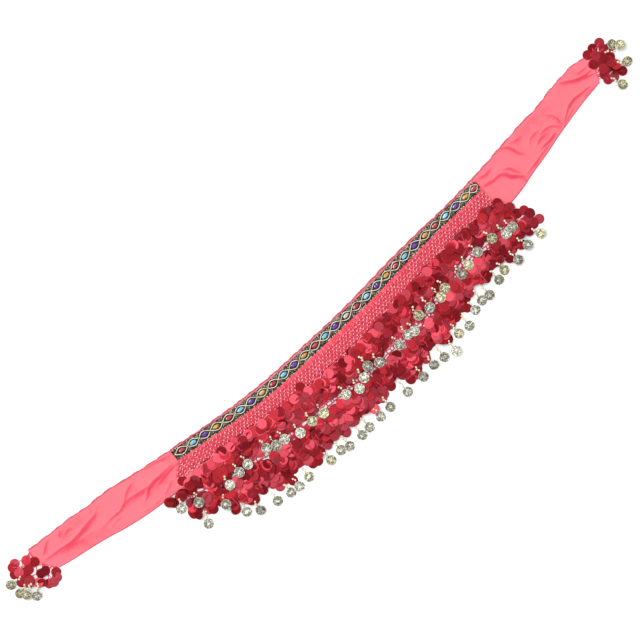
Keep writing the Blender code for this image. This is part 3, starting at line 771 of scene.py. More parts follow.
def paillette_finish(fringe):
    """Paillette, punched from metallised PET film: satin, painted bright or dark by its tone, a
    painted reflection of how it tips, with its rolled rim painted lighter on a dark paillette and
    darker on a bright one, a painted highlight and a painted shade."""
    made, tree = material("Paillette_metallised_film", fringe.middle, 0.42, Metallic=0.88)
    tone = summed(tree, "tone")
    # The rim is painted brighter than a dark paillette's middle, a painted highlight, and darker
    # than a bright one's, a painted shade
    rim_share = add(tree, "ShaderNodeMath", {0: tone, 1: -0.8, 2: 0.36}, operation="MULTIPLY_ADD")
    value = summed(tree, tone, ("rim", rim_share.outputs[0]), ((8, *EVEN), 0.12))
    dull = shaded(fringe.middle, 0.8)
    stops = ((0.14, fringe.dark), (0.38, dull), (0.53, fringe.middle), (0.74, fringe.bright))
    return painted(made, value, stops)


def coin_finish(fringe):
    """Aluminium coin, stamped and antiqued: tarnish sits in the hollows, the relief is rubbed."""
    made, tree = material("Coin_stamped_aluminium_antiqued", fringe.coin, 0.42, Metallic=0.5)
    value = summed(tree, "relief", ((3.8, *SMOOTH), 3.2), ("tone", 0.4))
    value = add(tree, "ShaderNodeMath", {0: value, 1: 0.32}, operation="MULTIPLY").outputs[0]
    dull, rubbed = linear("7C7B66"), linear("FAFAF0")
    stops = ((0.42, fringe.tarnish), (0.6, dull), (0.8, fringe.coin), (0.96, rubbed))
    # One coin in four has yellowed
    return painted(made, value, stops, wash=((0.72, WHITE), (0.8, linear("EBE6CC"))))


def bead_finish(name, tint):
    """Pressed glass bead with a pearl lustre: a bright spot, a painted highlight laid by noise and
    the bead's tone, on a soft body colour.
    """
    made, tree = material(name, tint, 0.22, Coat_Weight=0.6, Coat_Roughness=0.1)
    value = summed(tree, "tone", ((2.2, *EVEN), 0.4))
    return painted(made, value, ((0.2, shaded(tint, 0.55)), (0.6, tint), (1.0, shaded(tint, 1.2))))


def floor_finish(stage):
    """Matt painted board: even and pale."""
    made, tree = material("Floor_matt_painted_board", stage.floor, 0.9)
    stops = ((0.3, stage.floor), (0.7, shaded(stage.floor, 1.01)))
    return painted(made, summed(tree, (180, *EVEN)), stops)


# How the fringe piles up


class Pile:
    """The height of what has been laid so far, on a grid of the drawing."""

    def __init__(self):
        self.xs, self.ys = np.arange(-850, 860, 1.25), np.arange(-260, 100, 1.25)
        x, y = np.meshgrid(self.xs, self.ys, indexing="ij")
        lower, chain = curve_y(LOWER_EDGE, x), curve_y(CHAIN_LINE, x)
        band = (x > BAND_LEFT - 15) & (x < BAND_RIGHT)
        # The floor, then the chiffon, the net, its ladder chain and the header
        self.top = np.full(x.shape, 0.25)
        for high, where in (
            (1.9, (x > -733) & (x < 752) & (y < curve_y(UPPER_EDGE, x)) & (y > lower)),
            (1.8, band & (y > chain + 7) & (y < lower)),
            (2.2, (abs(x) < NET_END + 2) & (abs(y - chain) < 7.5)),
            (5.4, band & (y > curve_y(HEADER_FOOT, x) - 4) & (y < curve_y(TRIM_LINE, x))),
        ):
            self.top[where] = high

    def cells(self, x, y, radius):
        """The grid's cells under a round place, and how far each lies from its middle."""
        i = slice(*np.searchsorted(self.xs, (x - radius, x + radius)))
        j = slice(*np.searchsorted(self.ys, (y - radius, y + radius)))
        dx, dy = np.meshgrid(self.xs[i] - x, self.ys[j] - y, indexing="ij")
        return (i, j), dx, dy, dx ** 2 + dy ** 2 <= radius ** 2

    def settle(self, x, y, radius, thick, slopes, give=0.0, highest=99.0):
        """Lays a flat round thing at the slope that lets it rest lowest, and says where its
        middle lies. give is the share of what lies under it that bends out of its way. One
        slope alone is held as it is, and of more the pile's own slope is tried too."""
        where, dx, dy, under = self.cells(x, y, radius)
        top = self.top[where]
        rank = int((1 - give) * (under.sum() - 1))
        if len(slopes) > 1:
            fit = np.array([(top * d)[under].sum() / (d * d)[under].sum() for d in (dx, dy)])
            steepest = max(math.hypot(*slope) for slope in slopes)
            slopes = [tuple(fit * min(1.0, steepest / max(math.hypot(*fit), 1e-9))), *slopes]
        rests = []
        for slope_x, slope_y in slopes:
            high = np.partition((top - slope_x * dx - slope_y * dy)[under], rank)[rank]
            high = max(high, radius * math.hypot(slope_x, slope_y) + 0.1)
            rests.append((high, slope_x, slope_y))
        high, slope_x, slope_y = min(rests, key=lambda rest: rest[0])
        if high > highest:
            return None
        laid = high + slope_x * dx + slope_y * dy + thick
        self.top[where] = np.where(under, np.maximum(top, laid), top)
        return high + thick / 2, slope_x, slope_y

    def raise_line(self, line, top):
        """Fills the pile to a height along a cord."""
        line = np.array(line)[:, :2]
        for start, end in zip(line, line[1:]):
            for share in np.linspace(0, 1, 2 + int(np.linalg.norm(end - start))):
                where, _, _, under = self.cells(*(start + (end - start) * share), CORD_REACH)
                here = self.top[where]
                self.top[where] = np.where(under, np.maximum(here, top), here)

    def height(self, x, y):
        """How high the pile is at a place."""
        where, _, _, under = self.cells(x, y, PLACE_REACH)
        return self.top[where][under].max()


PILE = Pile()


def some_slopes(rng, steepest):
    """Slopes to try, level first."""
    slopes = [(0.0, 0.0)]
    for _ in range(14):
        slopes.append(swung(rng.uniform(0, math.tau), steepest * math.sqrt(rng.random())))
    return slopes


def tipped(slope_x, slope_y, spin=0.0):
    """The turn of something that spins flat, then lies at a slope."""
    tip = Euler((math.atan(slope_y), -math.atan(slope_x), 0)).to_matrix()
    return tuple((tip @ Matrix.Rotation(spin, 3, "Z")).to_euler())


def lay_discs(rng, places, fringe):
    """Rows for scatter: paillettes laid on the pile one after another from x, y and tone, but
    for those where it is full. One in five is held steeply by its thread."""
    rows = []
    for x, y, tone in places:
        if rng.random() < 0.2:
            slopes = [swung(rng.uniform(0, math.tau), rng.uniform(0.3, 0.6))]
        else:
            slopes = some_slopes(rng, 0.18)
        thick = fringe.film / MM + rng.uniform(0.03, 0.17)
        half = fringe.paillette / MM / 2
        laid = PILE.settle(x, y, half, thick, slopes, give=0.3, highest=10.5)
        if laid:
            high, slope_x, slope_y = laid
            # Painted light: a paillette tipped towards the key light is painted brighter, one
            # tipped away darker
            lit = tone + 0.35 * slope_y - 0.2 * slope_x + rng.uniform(-0.05, 0.05)
            rows.append(((x, y, high), tipped(slope_x, slope_y), (1, 1, 1), lit))
    return rows


# The pieces


def walk(rng, start, end, pitch, least, most):
    """Places from start to end, each a random share of the pitch, from least to most, after
    the last."""
    while start < end:
        yield start
        start += pitch * rng.uniform(least, most)


def cloth_line(upper_x, shares):
    """The points across the chiffon from its lower to its upper edge, at shares of the way."""
    left, right = UPPER_EDGE[0][0], UPPER_EDGE[-1][0]
    from_left = max(0.0, 1 - (upper_x - left) / END_REACH)
    from_right = max(0.0, 1 - (right - upper_x) / END_REACH)
    lower_x = upper_x + (LOWER_EDGE[0][0] - left) * from_left
    lower_x += (LOWER_EDGE[-1][0] - right) * from_right
    foot = np.array((lower_x, curve_y(LOWER_EDGE, lower_x)))
    top = np.array((upper_x, curve_y(UPPER_EDGE, upper_x)))
    line = foot + (top - foot) * shares[:, None]
    line[:, 0] -= (END_BOW[0] * from_left + END_BOW[1] * from_right) * 4 * shares * (1 - shares)
    return line


def crease_field(points):
    """How far creases lift the chiffon at each point, and how much they deepen its colour: each is
    a fine dark line where the sheer layers double, with a painted shade to its right, the side away
    from the key light, and a paler strip to its left, a painted highlight."""
    lift, fold = np.zeros(len(points)), np.zeros(len(points))
    for tall, half, depth, line in CREASES:
        gap, along = off_line(points, softened(line))
        fade = np.sin(np.pi * np.clip(along, 0.03, 0.97)) ** 0.6
        lift = np.maximum(lift, tall * fade * np.exp(-(gap / (0.8 * half)) ** 2))
        core = 0.6 * np.exp(-(gap / 1.3) ** 2)
        # soft is a painted shade on the crease's side away from the light, and pale a painted
        # highlight on the other side
        soft = np.where(gap < 0, 0.5 * np.exp(-(gap / (1.3 * half)) ** 2), 0.0)
        pale = np.where(gap > 0, 0.3 * np.exp(-((gap - 3.2) / 2.0) ** 2), 0.0)
        fold = fold + depth * fade * ((core + soft) * (1 - 0.7 * np.clip(fold, 0, 1)) - pale)
    for tall, half, line in SWELLS:
        gap, along = off_line(points, softened(line))
        soft = np.sin(np.pi * np.clip(along, 0, 1)) * np.exp(-(gap / half) ** 2)
        lift += tall * soft
        fold += 0.14 * soft
    return lift, fold


def build_chiffon(cloth):
    """The doubled chiffon, rippled and creased where it is bare, and flat under the band."""
    # The grid is close on the bare ties and wide under the band
    fine_left, fine_right = BAND_LEFT + 20, BAND_RIGHT - 6
    xs = [*np.arange(UPPER_EDGE[0][0], fine_left, 2.4), *np.arange(fine_left, fine_right, 9.0)]
    xs += [*np.linspace(fine_right, UPPER_EDGE[-1][0], 142)]
    shares = np.array([0, 0.012, *np.linspace(0.025, 0.975, 43), 0.988, 1])
    grid = np.array([cloth_line(x, shares) for x in xs])
    size = grid.shape[:2]
    lift, fold = (field.reshape(size) for field in crease_field(grid.reshape(-1, 2)))
    x, y = grid[..., 0], grid[..., 1]
    ripple = 0.22 * np.sin(x / 17 + y / 23) + 0.16 * np.sin(x / 9 - y / 12 + 1.3)
    ripple += 0.3 * np.sin(x / 41 - y / 19)
    edge = np.minimum(shares, 1 - shares)
    hem = np.clip(edge / 0.03, 0, 1)
    height = cloth.thickness / MM + 0.25 + lift * hem + (ripple + 0.5) * 0.5 * hem
    # The header holds the chiffon flat
    band = (x > BAND_LEFT - 4) & (x < BAND_RIGHT + 4)
    height[band] = np.minimum(height[band], BAND_LOW - 0.2)
    low = np.maximum(height - cloth.thickness / MM, 0.1)
    rim = np.pad(np.zeros((size[0] - 2, size[1] - 2), bool), 1, constant_values=True)
    height[rim], low[rim] = 0.75, 0.1
    fold = np.maximum(fold, np.where(edge < 0.02, 0.9, 0.0))
    finish = chiffon_finish(cloth)
    return shell("chiffon", finish, "chiffon_scarf", grid, height, low, {"fold": fold})


def build_overlock(cloth, rng):
    """The thread that binds the chiffon's upper edge: slanted stitches over a wavering cord."""
    finish = thread_finish(
        "Overlock_thread_spun", cloth.overlock, pale=0.2, dark=0.6, roughness=0.7
    )
    left, right = UPPER_EDGE[0][0], UPPER_EDGE[-1][0]
    rows = []
    for x in walk(rng, left + 3.0, right - 2, cloth.stitch / MM, 0.8, 1.2):
        off = 0.8 * math.sin(x / 5.1) + 0.5 * math.sin(x / 11.3 + 1)
        turn = lean_of(UPPER_EDGE, x) + math.radians(68) + rng.uniform(-0.35, 0.35)
        place = (x, curve_y(UPPER_EDGE, x) - 0.9 + off, 1.5)
        rows.append((place, (0, 0, turn), (rng.uniform(3.0, 4.4), 1.0, 0.9), rng.uniform(0.1, 0.8)))
    xs = np.arange(left + 1, right - 1, 2.0)
    waver = 0.8 * np.sin(xs / 5.1) + 0.5 * np.sin(xs / 11.3 + 1) + 0.35 * np.sin(xs / 2.3)
    line = path(xs, curve_y(UPPER_EDGE, xs) + 0.5 + waver, 1.0)
    return (
        scatter("overlock_stitches", finish, rows),
        cords("overlock_cord", finish, [line], 0.9, [0.3]),
    )


def column_line(x):
    """The top and the foot of a header column that starts at x under the ribbon. The columns
    slant further left towards the left end."""
    foot_x = x - HEADER_SLANT * max(0.0, 1 - (x - BAND_LEFT) / HEADER_FADE)
    top = np.array((x, curve_y(TRIM_LINE, x) + RIBBON_FOOT + 1))
    return top, np.array((foot_x, curve_y(HEADER_FOOT, foot_x)))


def header_stitches(crochet, rng):
    """Rows for scatter down every half column: the plain stitches under the ribbon, the stitches
    below them, and the seed beads with the raised stitch that holds each and a dark stitch beside
    each, its painted shadow."""
    plain, stitches, beads = [], [], []
    pitch = crochet.column / MM
    count = round((BAND_RIGHT - BAND_LEFT - 4) / pitch) * 2
    for half in range(count + 1):
        x = BAND_LEFT + 2 + (BAND_RIGHT - BAND_LEFT - 4) * half / count
        top, foot = column_line(x)
        reach = math.hypot(*(foot - top))
        way = (foot - top) / reach
        slant = math.atan2(way[1], way[0])
        depth = crochet.plain / MM * curve_y(PLAIN_SHARE, x) + rng.uniform(-0.6, 0.6)
        if half % 2 or half in (0, count):
            at = top + way * (depth / 2 - 2.5)
            size = (depth + 6, pitch * (1.12 if half % 2 else 0.6), 1.7)
            plain.append(((*at, 2.75), (0, 0, slant - 0.12), size, rng.uniform(0.32, 0.6)))
        downs = np.arange(depth - 1.0, reach - 0.5, crochet.row / MM)
        for row, down in enumerate(downs, 0 if half % 2 else 2):
            at = top + way * down + (rng.uniform(-0.7, 0.7), rng.uniform(-0.6, 0.6))
            if row % 4 == 0:
                held = at + way * 1.2 + (0.9, 0)
                turn = slant - math.radians(40) + rng.uniform(-0.25, 0.25)
                # The raised stitch is toned high, towards the painted gloss highlight
                tone = rng.uniform(0.7, 1.05)
                stitches.append(((*held, 3.3), (0, 0, turn), RAISED_STITCH, tone))
                size = (crochet.bead_size / MM * rng.uniform(0.8, 1.12),) * 3
                low = at + way * 2.2 + (rng.uniform(-0.9, 0.1), 0)
                if rng.random() < 0.92:
                    beads.append(((*low, 3.7), (0, 0, 0), size, rng.uniform(0.55, 1.0)))
                # A dark stitch low and to the right of each bead is the bead's painted shadow
                shade = low + (1.9, -0.6)
                stitches.append(((*shade, 3.6), (0, 0, slant + 0.5), BEAD_SHADE, -0.2))
            else:
                turn = slant + math.pi / 2 + rng.uniform(-0.5, 0.5)
                tone = rng.uniform(0.35, 0.75) if row % 4 == 2 else rng.uniform(0.0, 0.45)
                stitches.append(((*at, 3.0), (0, 0, turn), GROUND_STITCH, tone))
    return plain, stitches, beads


def build_header(crochet, rng):
    """The close crochet band: plain stitches under the ribbon, then rows of seed beads, each
    row half a column along from the last, and a row of open arcs at the foot."""
    shade = thread_finish("Crochet_ground_in_shade", crochet.shade, pale=0.05, dark=0.75)
    yarn = thread_finish("Crochet_yarn_glossy", crochet.yarn, pale=0.17, dark=0.55, roughness=0.5)
    pearl = bead_finish("Seed_bead_pale_pink", crochet.bead)
    grid = []
    for x in np.linspace(BAND_LEFT + 0.5, BAND_RIGHT - 0.5, 110):
        top, foot = column_line(x)
        under = [(x, curve_y(TRIM_LINE, x) + off) for off in (0.0, RIBBON_TOP - 1.5)]
        grid.append(np.array([*(foot + (top - foot) * np.linspace(0, 1, 7)[:, None]), *under]))
    grid = np.array(grid)
    ground = shell(
        "crochet_ground", shade, "crochet_header", grid, 2.7, BAND_LOW, {"tone": 0.4}
    )
    plain, stitches, beads = header_stitches(crochet, rng)
    arcs, tones = [path(*column.T, 2.6) for column in (grid[0], grid[-1])], [0.5, 0.5]
    share = np.linspace(0, 1, 9)
    rise = np.sin(np.pi * share)
    x = BAND_LEFT - 8.0
    while x < BAND_RIGHT - 22:
        if rng.random() < 0.35:
            x += rng.uniform(12, 24)
            continue
        wide = rng.uniform(15, 22)
        ax = x + wide * share
        arcs.append(path(ax, curve_y(HEADER_FOOT, ax) - 3.0 + 4.4 * rise, 2.9 + 0.5 * rise))
        tones.append(rng.uniform(0.9, 1.2))
        x += wide + rng.uniform(2, 9)
    worked = (
        scatter("crochet_stitches", yarn, stitches),
        scatter("crochet_plain_stitches", yarn, plain, segments=8, rings=6),
        cords("crochet_shell_arcs", yarn, arcs, 2.9, tones, sides=6),
        scatter("seed_beads", pearl, beads, segments=8, rings=5),
    )
    return [ground, *worked], yarn, shade


def build_edging(crochet, rng):
    """The puckered edging over the ribbon: a narrow fold, and looped picots further right."""
    finish = thread_finish("Edging_thread_puckered", crochet.edging, pale=0.15)
    # The fold's pale inner colour is a painted highlight along it
    pale = thread_finish("Edging_thread_inner", crochet.inner, pale=0.2)

    def looped(x):
        """How far the edging has turned from a close fold into open loops."""
        ends = (x - LOOPED[0], LOOPED[1] - x)
        return np.clip(ends[0] / 30, 0, 1) * np.clip(ends[1] / 30, 0, 1)

    xs = np.arange(BAND_LEFT + 3, BAND_RIGHT - 2, 4.0)
    foot = curve_y(TRIM_LINE, xs) + RIBBON_TOP + 0.4
    loops = looped(xs)
    line = curve_y(EDGING_LINE, xs) + 0.9 * np.sin(xs / 4.6) * (1 - loops)
    head = np.maximum(foot + 1.2, line - 1.0 - (line - foot - 2.2) * loops)
    across = [np.column_stack((xs, foot + (head - foot) * share)) for share in (0, 0.5, 1)]
    band = shell("edging_band", pale, "scalloped_edging", np.stack(across, axis=1),
                 np.array((2.5, 2.9, 2.5)), BAND_LOW, {"tone": 0.6})
    fine = np.arange(BAND_LEFT + 2, BAND_RIGHT - 1, 1.5)
    loose = looped(fine)
    wave = np.abs(np.sin(np.pi * (fine - BAND_LEFT) / 28.4))
    outer = curve_y(EDGING_LINE, fine) + 0.3 + loose * (1.8 * wave - 0.6)
    outer += (1 - loose) * (0.7 * np.sin(fine / 4.6) + 0.4 * np.sin(fine / 2.1))
    outline = path(fine, outer, 2.6 + 0.5 * np.sin(fine / 3.4))
    picots = []
    share = np.linspace(0, 1, 9)
    rise = np.sin(np.pi * share)
    x = LOOPED[0] + 2.0
    while x < LOOPED[1] - 6:
        wide = rng.uniform(15, 20)
        px = x + wide * share
        base = curve_y(TRIM_LINE, px) + RIBBON_TOP + 0.8
        tall = curve_y(EDGING_LINE, px) - base - 0.6
        picots.append(path(px, base + tall * rise ** 0.6, 2.4 + 0.5 * rise))
        x += wide + rng.uniform(0, 4)
    puckers, tones = [], []
    for x in walk(rng, BAND_LEFT + 4.0, BAND_RIGHT - 4, 1.0, 2.6, 4.4):
        base = curve_y(TRIM_LINE, x) + RIBBON_TOP + 0.6
        head = max(curve_y(EDGING_LINE, x) - 0.4, base + 1.0)
        puckers.append([(x, base, 2.9), (x + rng.uniform(-1.2, 1.2), head, 3.0)])
        tones.append(rng.uniform(0.1, 1.0))
    return [
        band,
        cords("edging_cord", finish, [outline], 2.6, [0.45], sides=6),
        cords("edging_picots", pale, picots, 1.1),
        cords("edging_puckers", pale, puckers, 1.7, tones),
    ]


def waists():
    """Where the two metal waves cross: midway between stones, and at the ribbon's ends."""
    places = np.array(STONES, float)
    return np.array([BAND_LEFT + 4, *(places[1:] + places[:-1]) / 2, BAND_RIGHT - 2])


def bulge(share):
    """How far a metal wave stands off the ribbon's middle at a share of the way from one waist
    to the next."""
    rise = np.sin(np.pi * share)
    return WAVE_HALF * rise * (0.86 + 0.14 * rise)


def wave_rows(side, rng):
    """Rows for scatter: the coils of one of the two metal waves that cross between the stones."""
    ends = waists()

    def wave(x):
        cell = int(np.clip(np.searchsorted(ends, x) - 1, 0, len(STONES) - 1))
        share = (x - ends[cell]) / (ends[cell + 1] - ends[cell])
        return side * (-1) ** cell * bulge(share) + curve_y(TRIM_LINE, x), cell, share

    rows = []
    x = BAND_LEFT + 4.5
    while x < BAND_RIGHT - 2.5:
        y, cell, share = wave(x)
        slope = (wave(x + 0.5)[0] - y) / 0.5
        near = max(0.0, 1 - min(share, 1 - share) * 6)
        over = 0.6 if (cell + (share > 0.5)) % 2 == (side > 0) else 0.0
        # glint is a painted glint on each coil, dimmed near the crossings as a painted shade where
        # the waves meet
        glint = 0.85 + 0.2 * math.sin(x / 3.7 + side) + rng.uniform(-0.25, 0.2) - 0.3 * near
        place = (x, y, 4.8 + over * near)
        rows.append((place, (0, 0, math.atan(slope)), WAVE_COIL, glint))
        x += COIL_PITCH / math.sqrt(1 + slope * slope)
    return rows


def leaf_rows(rng):
    """Rows for scatter: four leaves and two dots of metal thread at each waist."""
    rows = []
    for x in waists()[1:-1]:
        base = curve_y(TRIM_LINE, x)
        for up in (-1, 1):
            for side in (-1, 1):
                place, turn = (x + side * 2.4, base + up * 6.6, 4.5), up * side * math.radians(40)
                rows.append((place, (0, 0, turn), LEAF, rng.uniform(0.0, 0.45)))
            place = (x, base + up * 4.2, 4.5)
            rows.append((place, (0, 0, 0), LEAF_DOT, rng.uniform(0.2, 0.6)))
    return rows


def pick_rows(rng):
    """Rows for scatter: short picks of metal thread along the ribbon's two edges."""
    rows = []
    for off, pitch, big in ((RIBBON_TOP - 0.9, 3.0, 1.8), (RIBBON_FOOT + 0.9, 3.2, 2.0)):
        for x in walk(rng, BAND_LEFT + 2.0, BAND_RIGHT - 4, pitch, 0.8, 1.3):
            place = (x, curve_y(TRIM_LINE, x) + off + rng.uniform(-0.3, 0.3), 4.3)
            size = (big * rng.uniform(0.9, 1.5), big, big * 0.7)
            tone = rng.choice((-0.3, 0.1, 0.6, 0.9))
            rows.append((place, (0, 0, rng.uniform(-0.5, 0.5)), size, tone))
    return rows


def build_ribbon(trim, rng):
    """The ribbon: its dark ground, crossing metal waves with dark cords beside them as painted
    shadows, leaves between them and edge picks.
    """
    dark, metal = ribbon_finish(trim), metal_thread_finish(trim)
    deep = thread_finish(
        "Frame_ground_black_thread", trim.frame, pale=0.01, dark=0.6, roughness=0.8
    )
    xs = np.linspace(BAND_LEFT + 0.6, BAND_RIGHT - 0.6, 140)
    across = np.array((RIBBON_FOOT, RIBBON_FOOT + 0.7, -5, 0, 5, RIBBON_TOP - 0.7, RIBBON_TOP))
    # The ribbon's right end is cut round
    end = np.maximum(np.clip((BAND_RIGHT - 0.6 - xs) / 8, 0, 1) ** 0.5, 0.45)
    y = curve_y(TRIM_LINE, xs)[:, None] + across * end[:, None]
    grid = np.dstack(np.broadcast_arrays(xs[:, None], y))
    height = np.array((3.9, 4.3, 4.3, 4.3, 4.3, 4.3, 3.9))
    ground = shell("ribbon_ground", dark, "jewel_trim", grid, height, RIBBON_LOW)
    ends = waists()
    panels, shadows = [], []
    for left, right in zip(ends, ends[1:]):
        x = (left + right) / 2
        place, turn = (x, curve_y(TRIM_LINE, x), 4.3), (0, 0, lean_of(TRIM_LINE, x))
        panels.append((place, turn, (right - left - 3, 13.2, 0.5), 0.3))
        lx = np.linspace(left + 3, right - 3, 9)
        # Dark cords beside each wave's outer side are its painted shadow
        for side in (-1, 1):
            off = side * (bulge((lx - left) / (right - left)) + 1.9)
            shadows.append(path(lx, curve_y(TRIM_LINE, lx) + off, 4.2))
    panel = scatter("ribbon_frame_grounds", deep, panels, segments=16, rings=5)
    coils = wave_rows(-1, rng) + wave_rows(1, rng)
    waves = scatter("ribbon_waves", metal, coils)
    painted_wave_shadows = cords("ribbon_wave_shadows", deep, shadows, 1.3)
    leaves = scatter("ribbon_leaves", metal, leaf_rows(rng), segments=8)
    picks = scatter("ribbon_edge_picks", metal, pick_rows(rng))
    turn = np.linspace(0, math.tau, 17)
    rings = []
    for x in STONES:
        rx = (trim.long / MM / 2 + 0.5) * np.cos(turn)
        ry = (trim.wide / MM / 2 + 0.5) * np.sin(turn)
        rx, ry = turned(rx, ry, lean_of(TRIM_LINE, x))
        rings.append(path(x + rx, curve_y(TRIM_LINE, x) + ry, 4.5))
    bezel = cords("stone_bezels", deep, rings, 1.0, sides=6)
    return [ground, panel, painted_wave_shadows, waves, leaves, picks, bezel]


def build_stones(trim, rng):
    """Oval stones, cut with a table, a ring of star facets, a ring of crown facets and a girdle."""
    names = {}
    for number in range(1, len(STONES) + 1):
        tint = "clear" if number == CLEAR_STONE else STONE_ORDER[(number - 1) % 4]
        names.setdefault(tint, []).append(number)
    # Each ring of corners: its share of the stone's size, its height and its turn in corners
    rings = ((0.86, 4.45, 0.5), (1.0, 5.3, 0.0), (0.82, 6.2, 0.5), (0.52, 6.85, 0.0))
    sides = 8
    made = []
    for tint, numbers in names.items():
        points, faces, tones = [], [], []
        for x in (STONES[number - 1] for number in numbers):
            y, lean, first = curve_y(TRIM_LINE, x), lean_of(TRIM_LINE, x), len(points)
            for share, high, off in rings:
                for k in range(sides):
                    turn = (k + off) * math.tau / sides
                    px = share * trim.long / MM / 2 * math.cos(turn)
                    py = share * trim.wide / MM / 2 * math.sin(turn)
                    px, py = turned(px, py, lean)
                    points.append((x + px, y + py, high))
            for one, (_, _, off) in zip(range(first, len(points), sides), rings[:-1]):
                late = off > 0
                for k in range(sides):
                    # Two facets, split the way that the ring of corners is turned
                    a, b = one + k, one + (k + 1) % sides
                    faces.append((a, b, (b if late else a) + sides))
                    faces.append((a if late else b, b + sides, a + sides))
                    # Painted light: facets that face the key light are painted lighter and those
                    # facing away darker, give or take a random share
                    lit = 0.45 + 0.3 * math.cos((k + 0.5) * math.tau / sides - math.radians(110))
                    tones += [lit + rng.uniform(-0.35, 0.35) for _ in range(2)]
            last = len(points) - sides
            faces.append(tuple(range(last, last + sides)))
            faces.append(tuple(range(first + sides - 1, first - 1, -1)))
            tones += [rng.choice((0.45, 0.55, 0.75)), 0.1]
        piece = mesh_piece(f"stones_{tint}", points, faces, smooth=False)
        piece.data.attributes.new("facet", "FLOAT", "FACE").data.foreach_set("value", tones)
        outward(piece)
        finish = stone_finish(f"Acrylic_stone_{tint}", getattr(trim, tint))
        nodes = [f"stone_{number:02d}" for number in numbers]
        made.append(finish_piece(piece, finish, nodes))
    return made


def build_net(yarn, shade, rng):
    """The crochet net under the upper row, and the ladder chain that carries the lower one."""
    grid = []
    for x in np.linspace(-NET_END, NET_END, 100):
        top, foot = curve_y(LOWER_EDGE, x) - 0.6, curve_y(CHAIN_LINE, x) + 8.6
        y = foot + (top - foot) * np.linspace(0, 1, 7)
        grid.append(np.column_stack(np.broadcast_arrays(x, y)))
    ground = shell(
        "net_ground", shade, "lower_net", np.array(grid), 1.0, NET_LOW, {"tone": 0.3}
    )
    rows = []
    for x in np.arange(5 - NET_END, NET_END - 3, 9.2):
        for y in np.arange(curve_y(CHAIN_LINE, x) + 10, curve_y(LOWER_EDGE, x) - 2, 5.0):
            for side in (-1, 1):
                turn = -math.pi / 2 + side * math.radians(27)
                place, tone = (x + side * 1.5, y, 1.3), rng.uniform(0.2, 0.6)
                rows.append((place, (0, 0, turn), NET_STITCH, tone))
    stitches = scatter("net_stitches", yarn, rows)
    fine = np.arange(-NET_END - 1, NET_END + 1.5, 2.5)
    rails = []
    for off in CHAIN_RAILS:
        wobble = 0.5 * np.sin(fine / 3.1 + off) + 0.4 * np.sin(fine / 7.3 - off)
        rails.append(path(fine, curve_y(CHAIN_LINE, fine) + off + wobble, 1.4))
    bars, tones = [], []

    def bar(x, y, lean, high, *shades):
        bars.append([(x, y + rail, high), (x + lean, y + next_rail, high)])
        tones.append(rng.uniform(*shades))

    for rail, next_rail in zip(CHAIN_RAILS, CHAIN_RAILS[1:]):
        x = -float(NET_END)
        while x < NET_END:
            y, lean = curve_y(CHAIN_LINE, x), rng.uniform(-1.5, 1.5)
            bar(x, y, lean, 1.4, 0.3, 1.0)
            step = rng.choice((6, 10, 13, 17)) * rng.uniform(0.85, 1.15)
            if rng.random() < 0.3:
                for place in np.arange(x + 1.6, x + step - 0.8, 2.3):
                    bar(place, y, lean, 1.3, 0.1, 0.8)
            x += step
    return [
        ground, stitches,
        cords("chain_rails", shade, rails, 1.9, [0.5, 0.8, 0.6], sides=6),
        cords("chain_bars", shade, bars, 2.6, tones, sides=6),
    ]


def string_root(x, roots_on, reach, fan):
    """Where the string that ends at x is hung, nearer the middle the further out it ends."""
    share = x / reach[-1 if x > 0 else 0][0]
    root_x = x - math.copysign(fan * abs(share) ** 4, x)
    return np.array((root_x, curve_y(roots_on, root_x)))


def tone_field(rng):
    """How bright the paillettes of a place are painted, a painted reflection of how they turn to
    the light: strings that lie side by side turn together, so the tone drifts along and down the
    row."""
    waves = []
    for _ in range(7):
        turn, pitch = rng.uniform(0, math.tau), rng.uniform(36, 90)
        waves.append((math.cos(turn) / pitch, math.sin(turn) / pitch, rng.uniform(0, math.tau)))

    def field(x, y):
        total = sum(math.sin(math.tau * (a * x + b * y) + c) for a, b, c in waves)
        return total / math.sqrt(len(waves) / 2)

    return field


def fringe_places(ways, fringe, rng, drop, thinning):
    """Bunches of paillettes down each string, as x, y and tone: each bunch is fanned about its
    loop, and they come roughly from the tips up. With thinning, the bunches are smaller near
    the tips."""
    field = tone_field(rng)
    places = []
    for root, tip in ways:
        reach = math.hypot(*(tip - root))
        way = (tip - root) / reach
        side = np.array((-way[1], way[0]))
        start = drop + rng.uniform(-4.5, 5)
        last = reach - fringe.paillette / MM / 2 + rng.uniform(-12, 8)
        few_from = 0.65 * last if thinning else reach
        for down in walk(rng, start, last + 2, 1.0, 7.5, 12):
            drift = field(*(root + way * down)) + rng.gauss(0, 0.6)
            tone = float(np.interp(drift, *DRIFT_TONES))
            off = rng.uniform(-5.5, 5.5)
            fan = rng.choice((1, 1, 1, -1)) * math.pi / 2 + rng.gauss(0, 0.7)
            spread, order = rng.uniform(1.6, 4.6), rng.uniform(-9, 9)
            for k in range(rng.choice((2, 3, 3, 5) if down < few_from else (1, 2, 2))):
                across, along = swung(fan + rng.uniform(-0.5, 0.5), spread * k)
                at = way * (down + along) + side * (off + across)
                at -= way * max(0.0, at @ way - last - rng.uniform(0, 3))
                at += way * max(0.0, drop - 4 + rng.uniform(-1, 4) - at @ way)
                own = tone if rng.random() < 0.7 else rng.choice((0.0, 0.1, 0.3, 0.6, 1.0))
                place = (*(root + at), own + rng.uniform(-0.2, 0.2))
                places.append((down - reach + order + k * 0.4, place))
    places.sort(key=lambda row: -row[0])
    return [place for _, place in places]


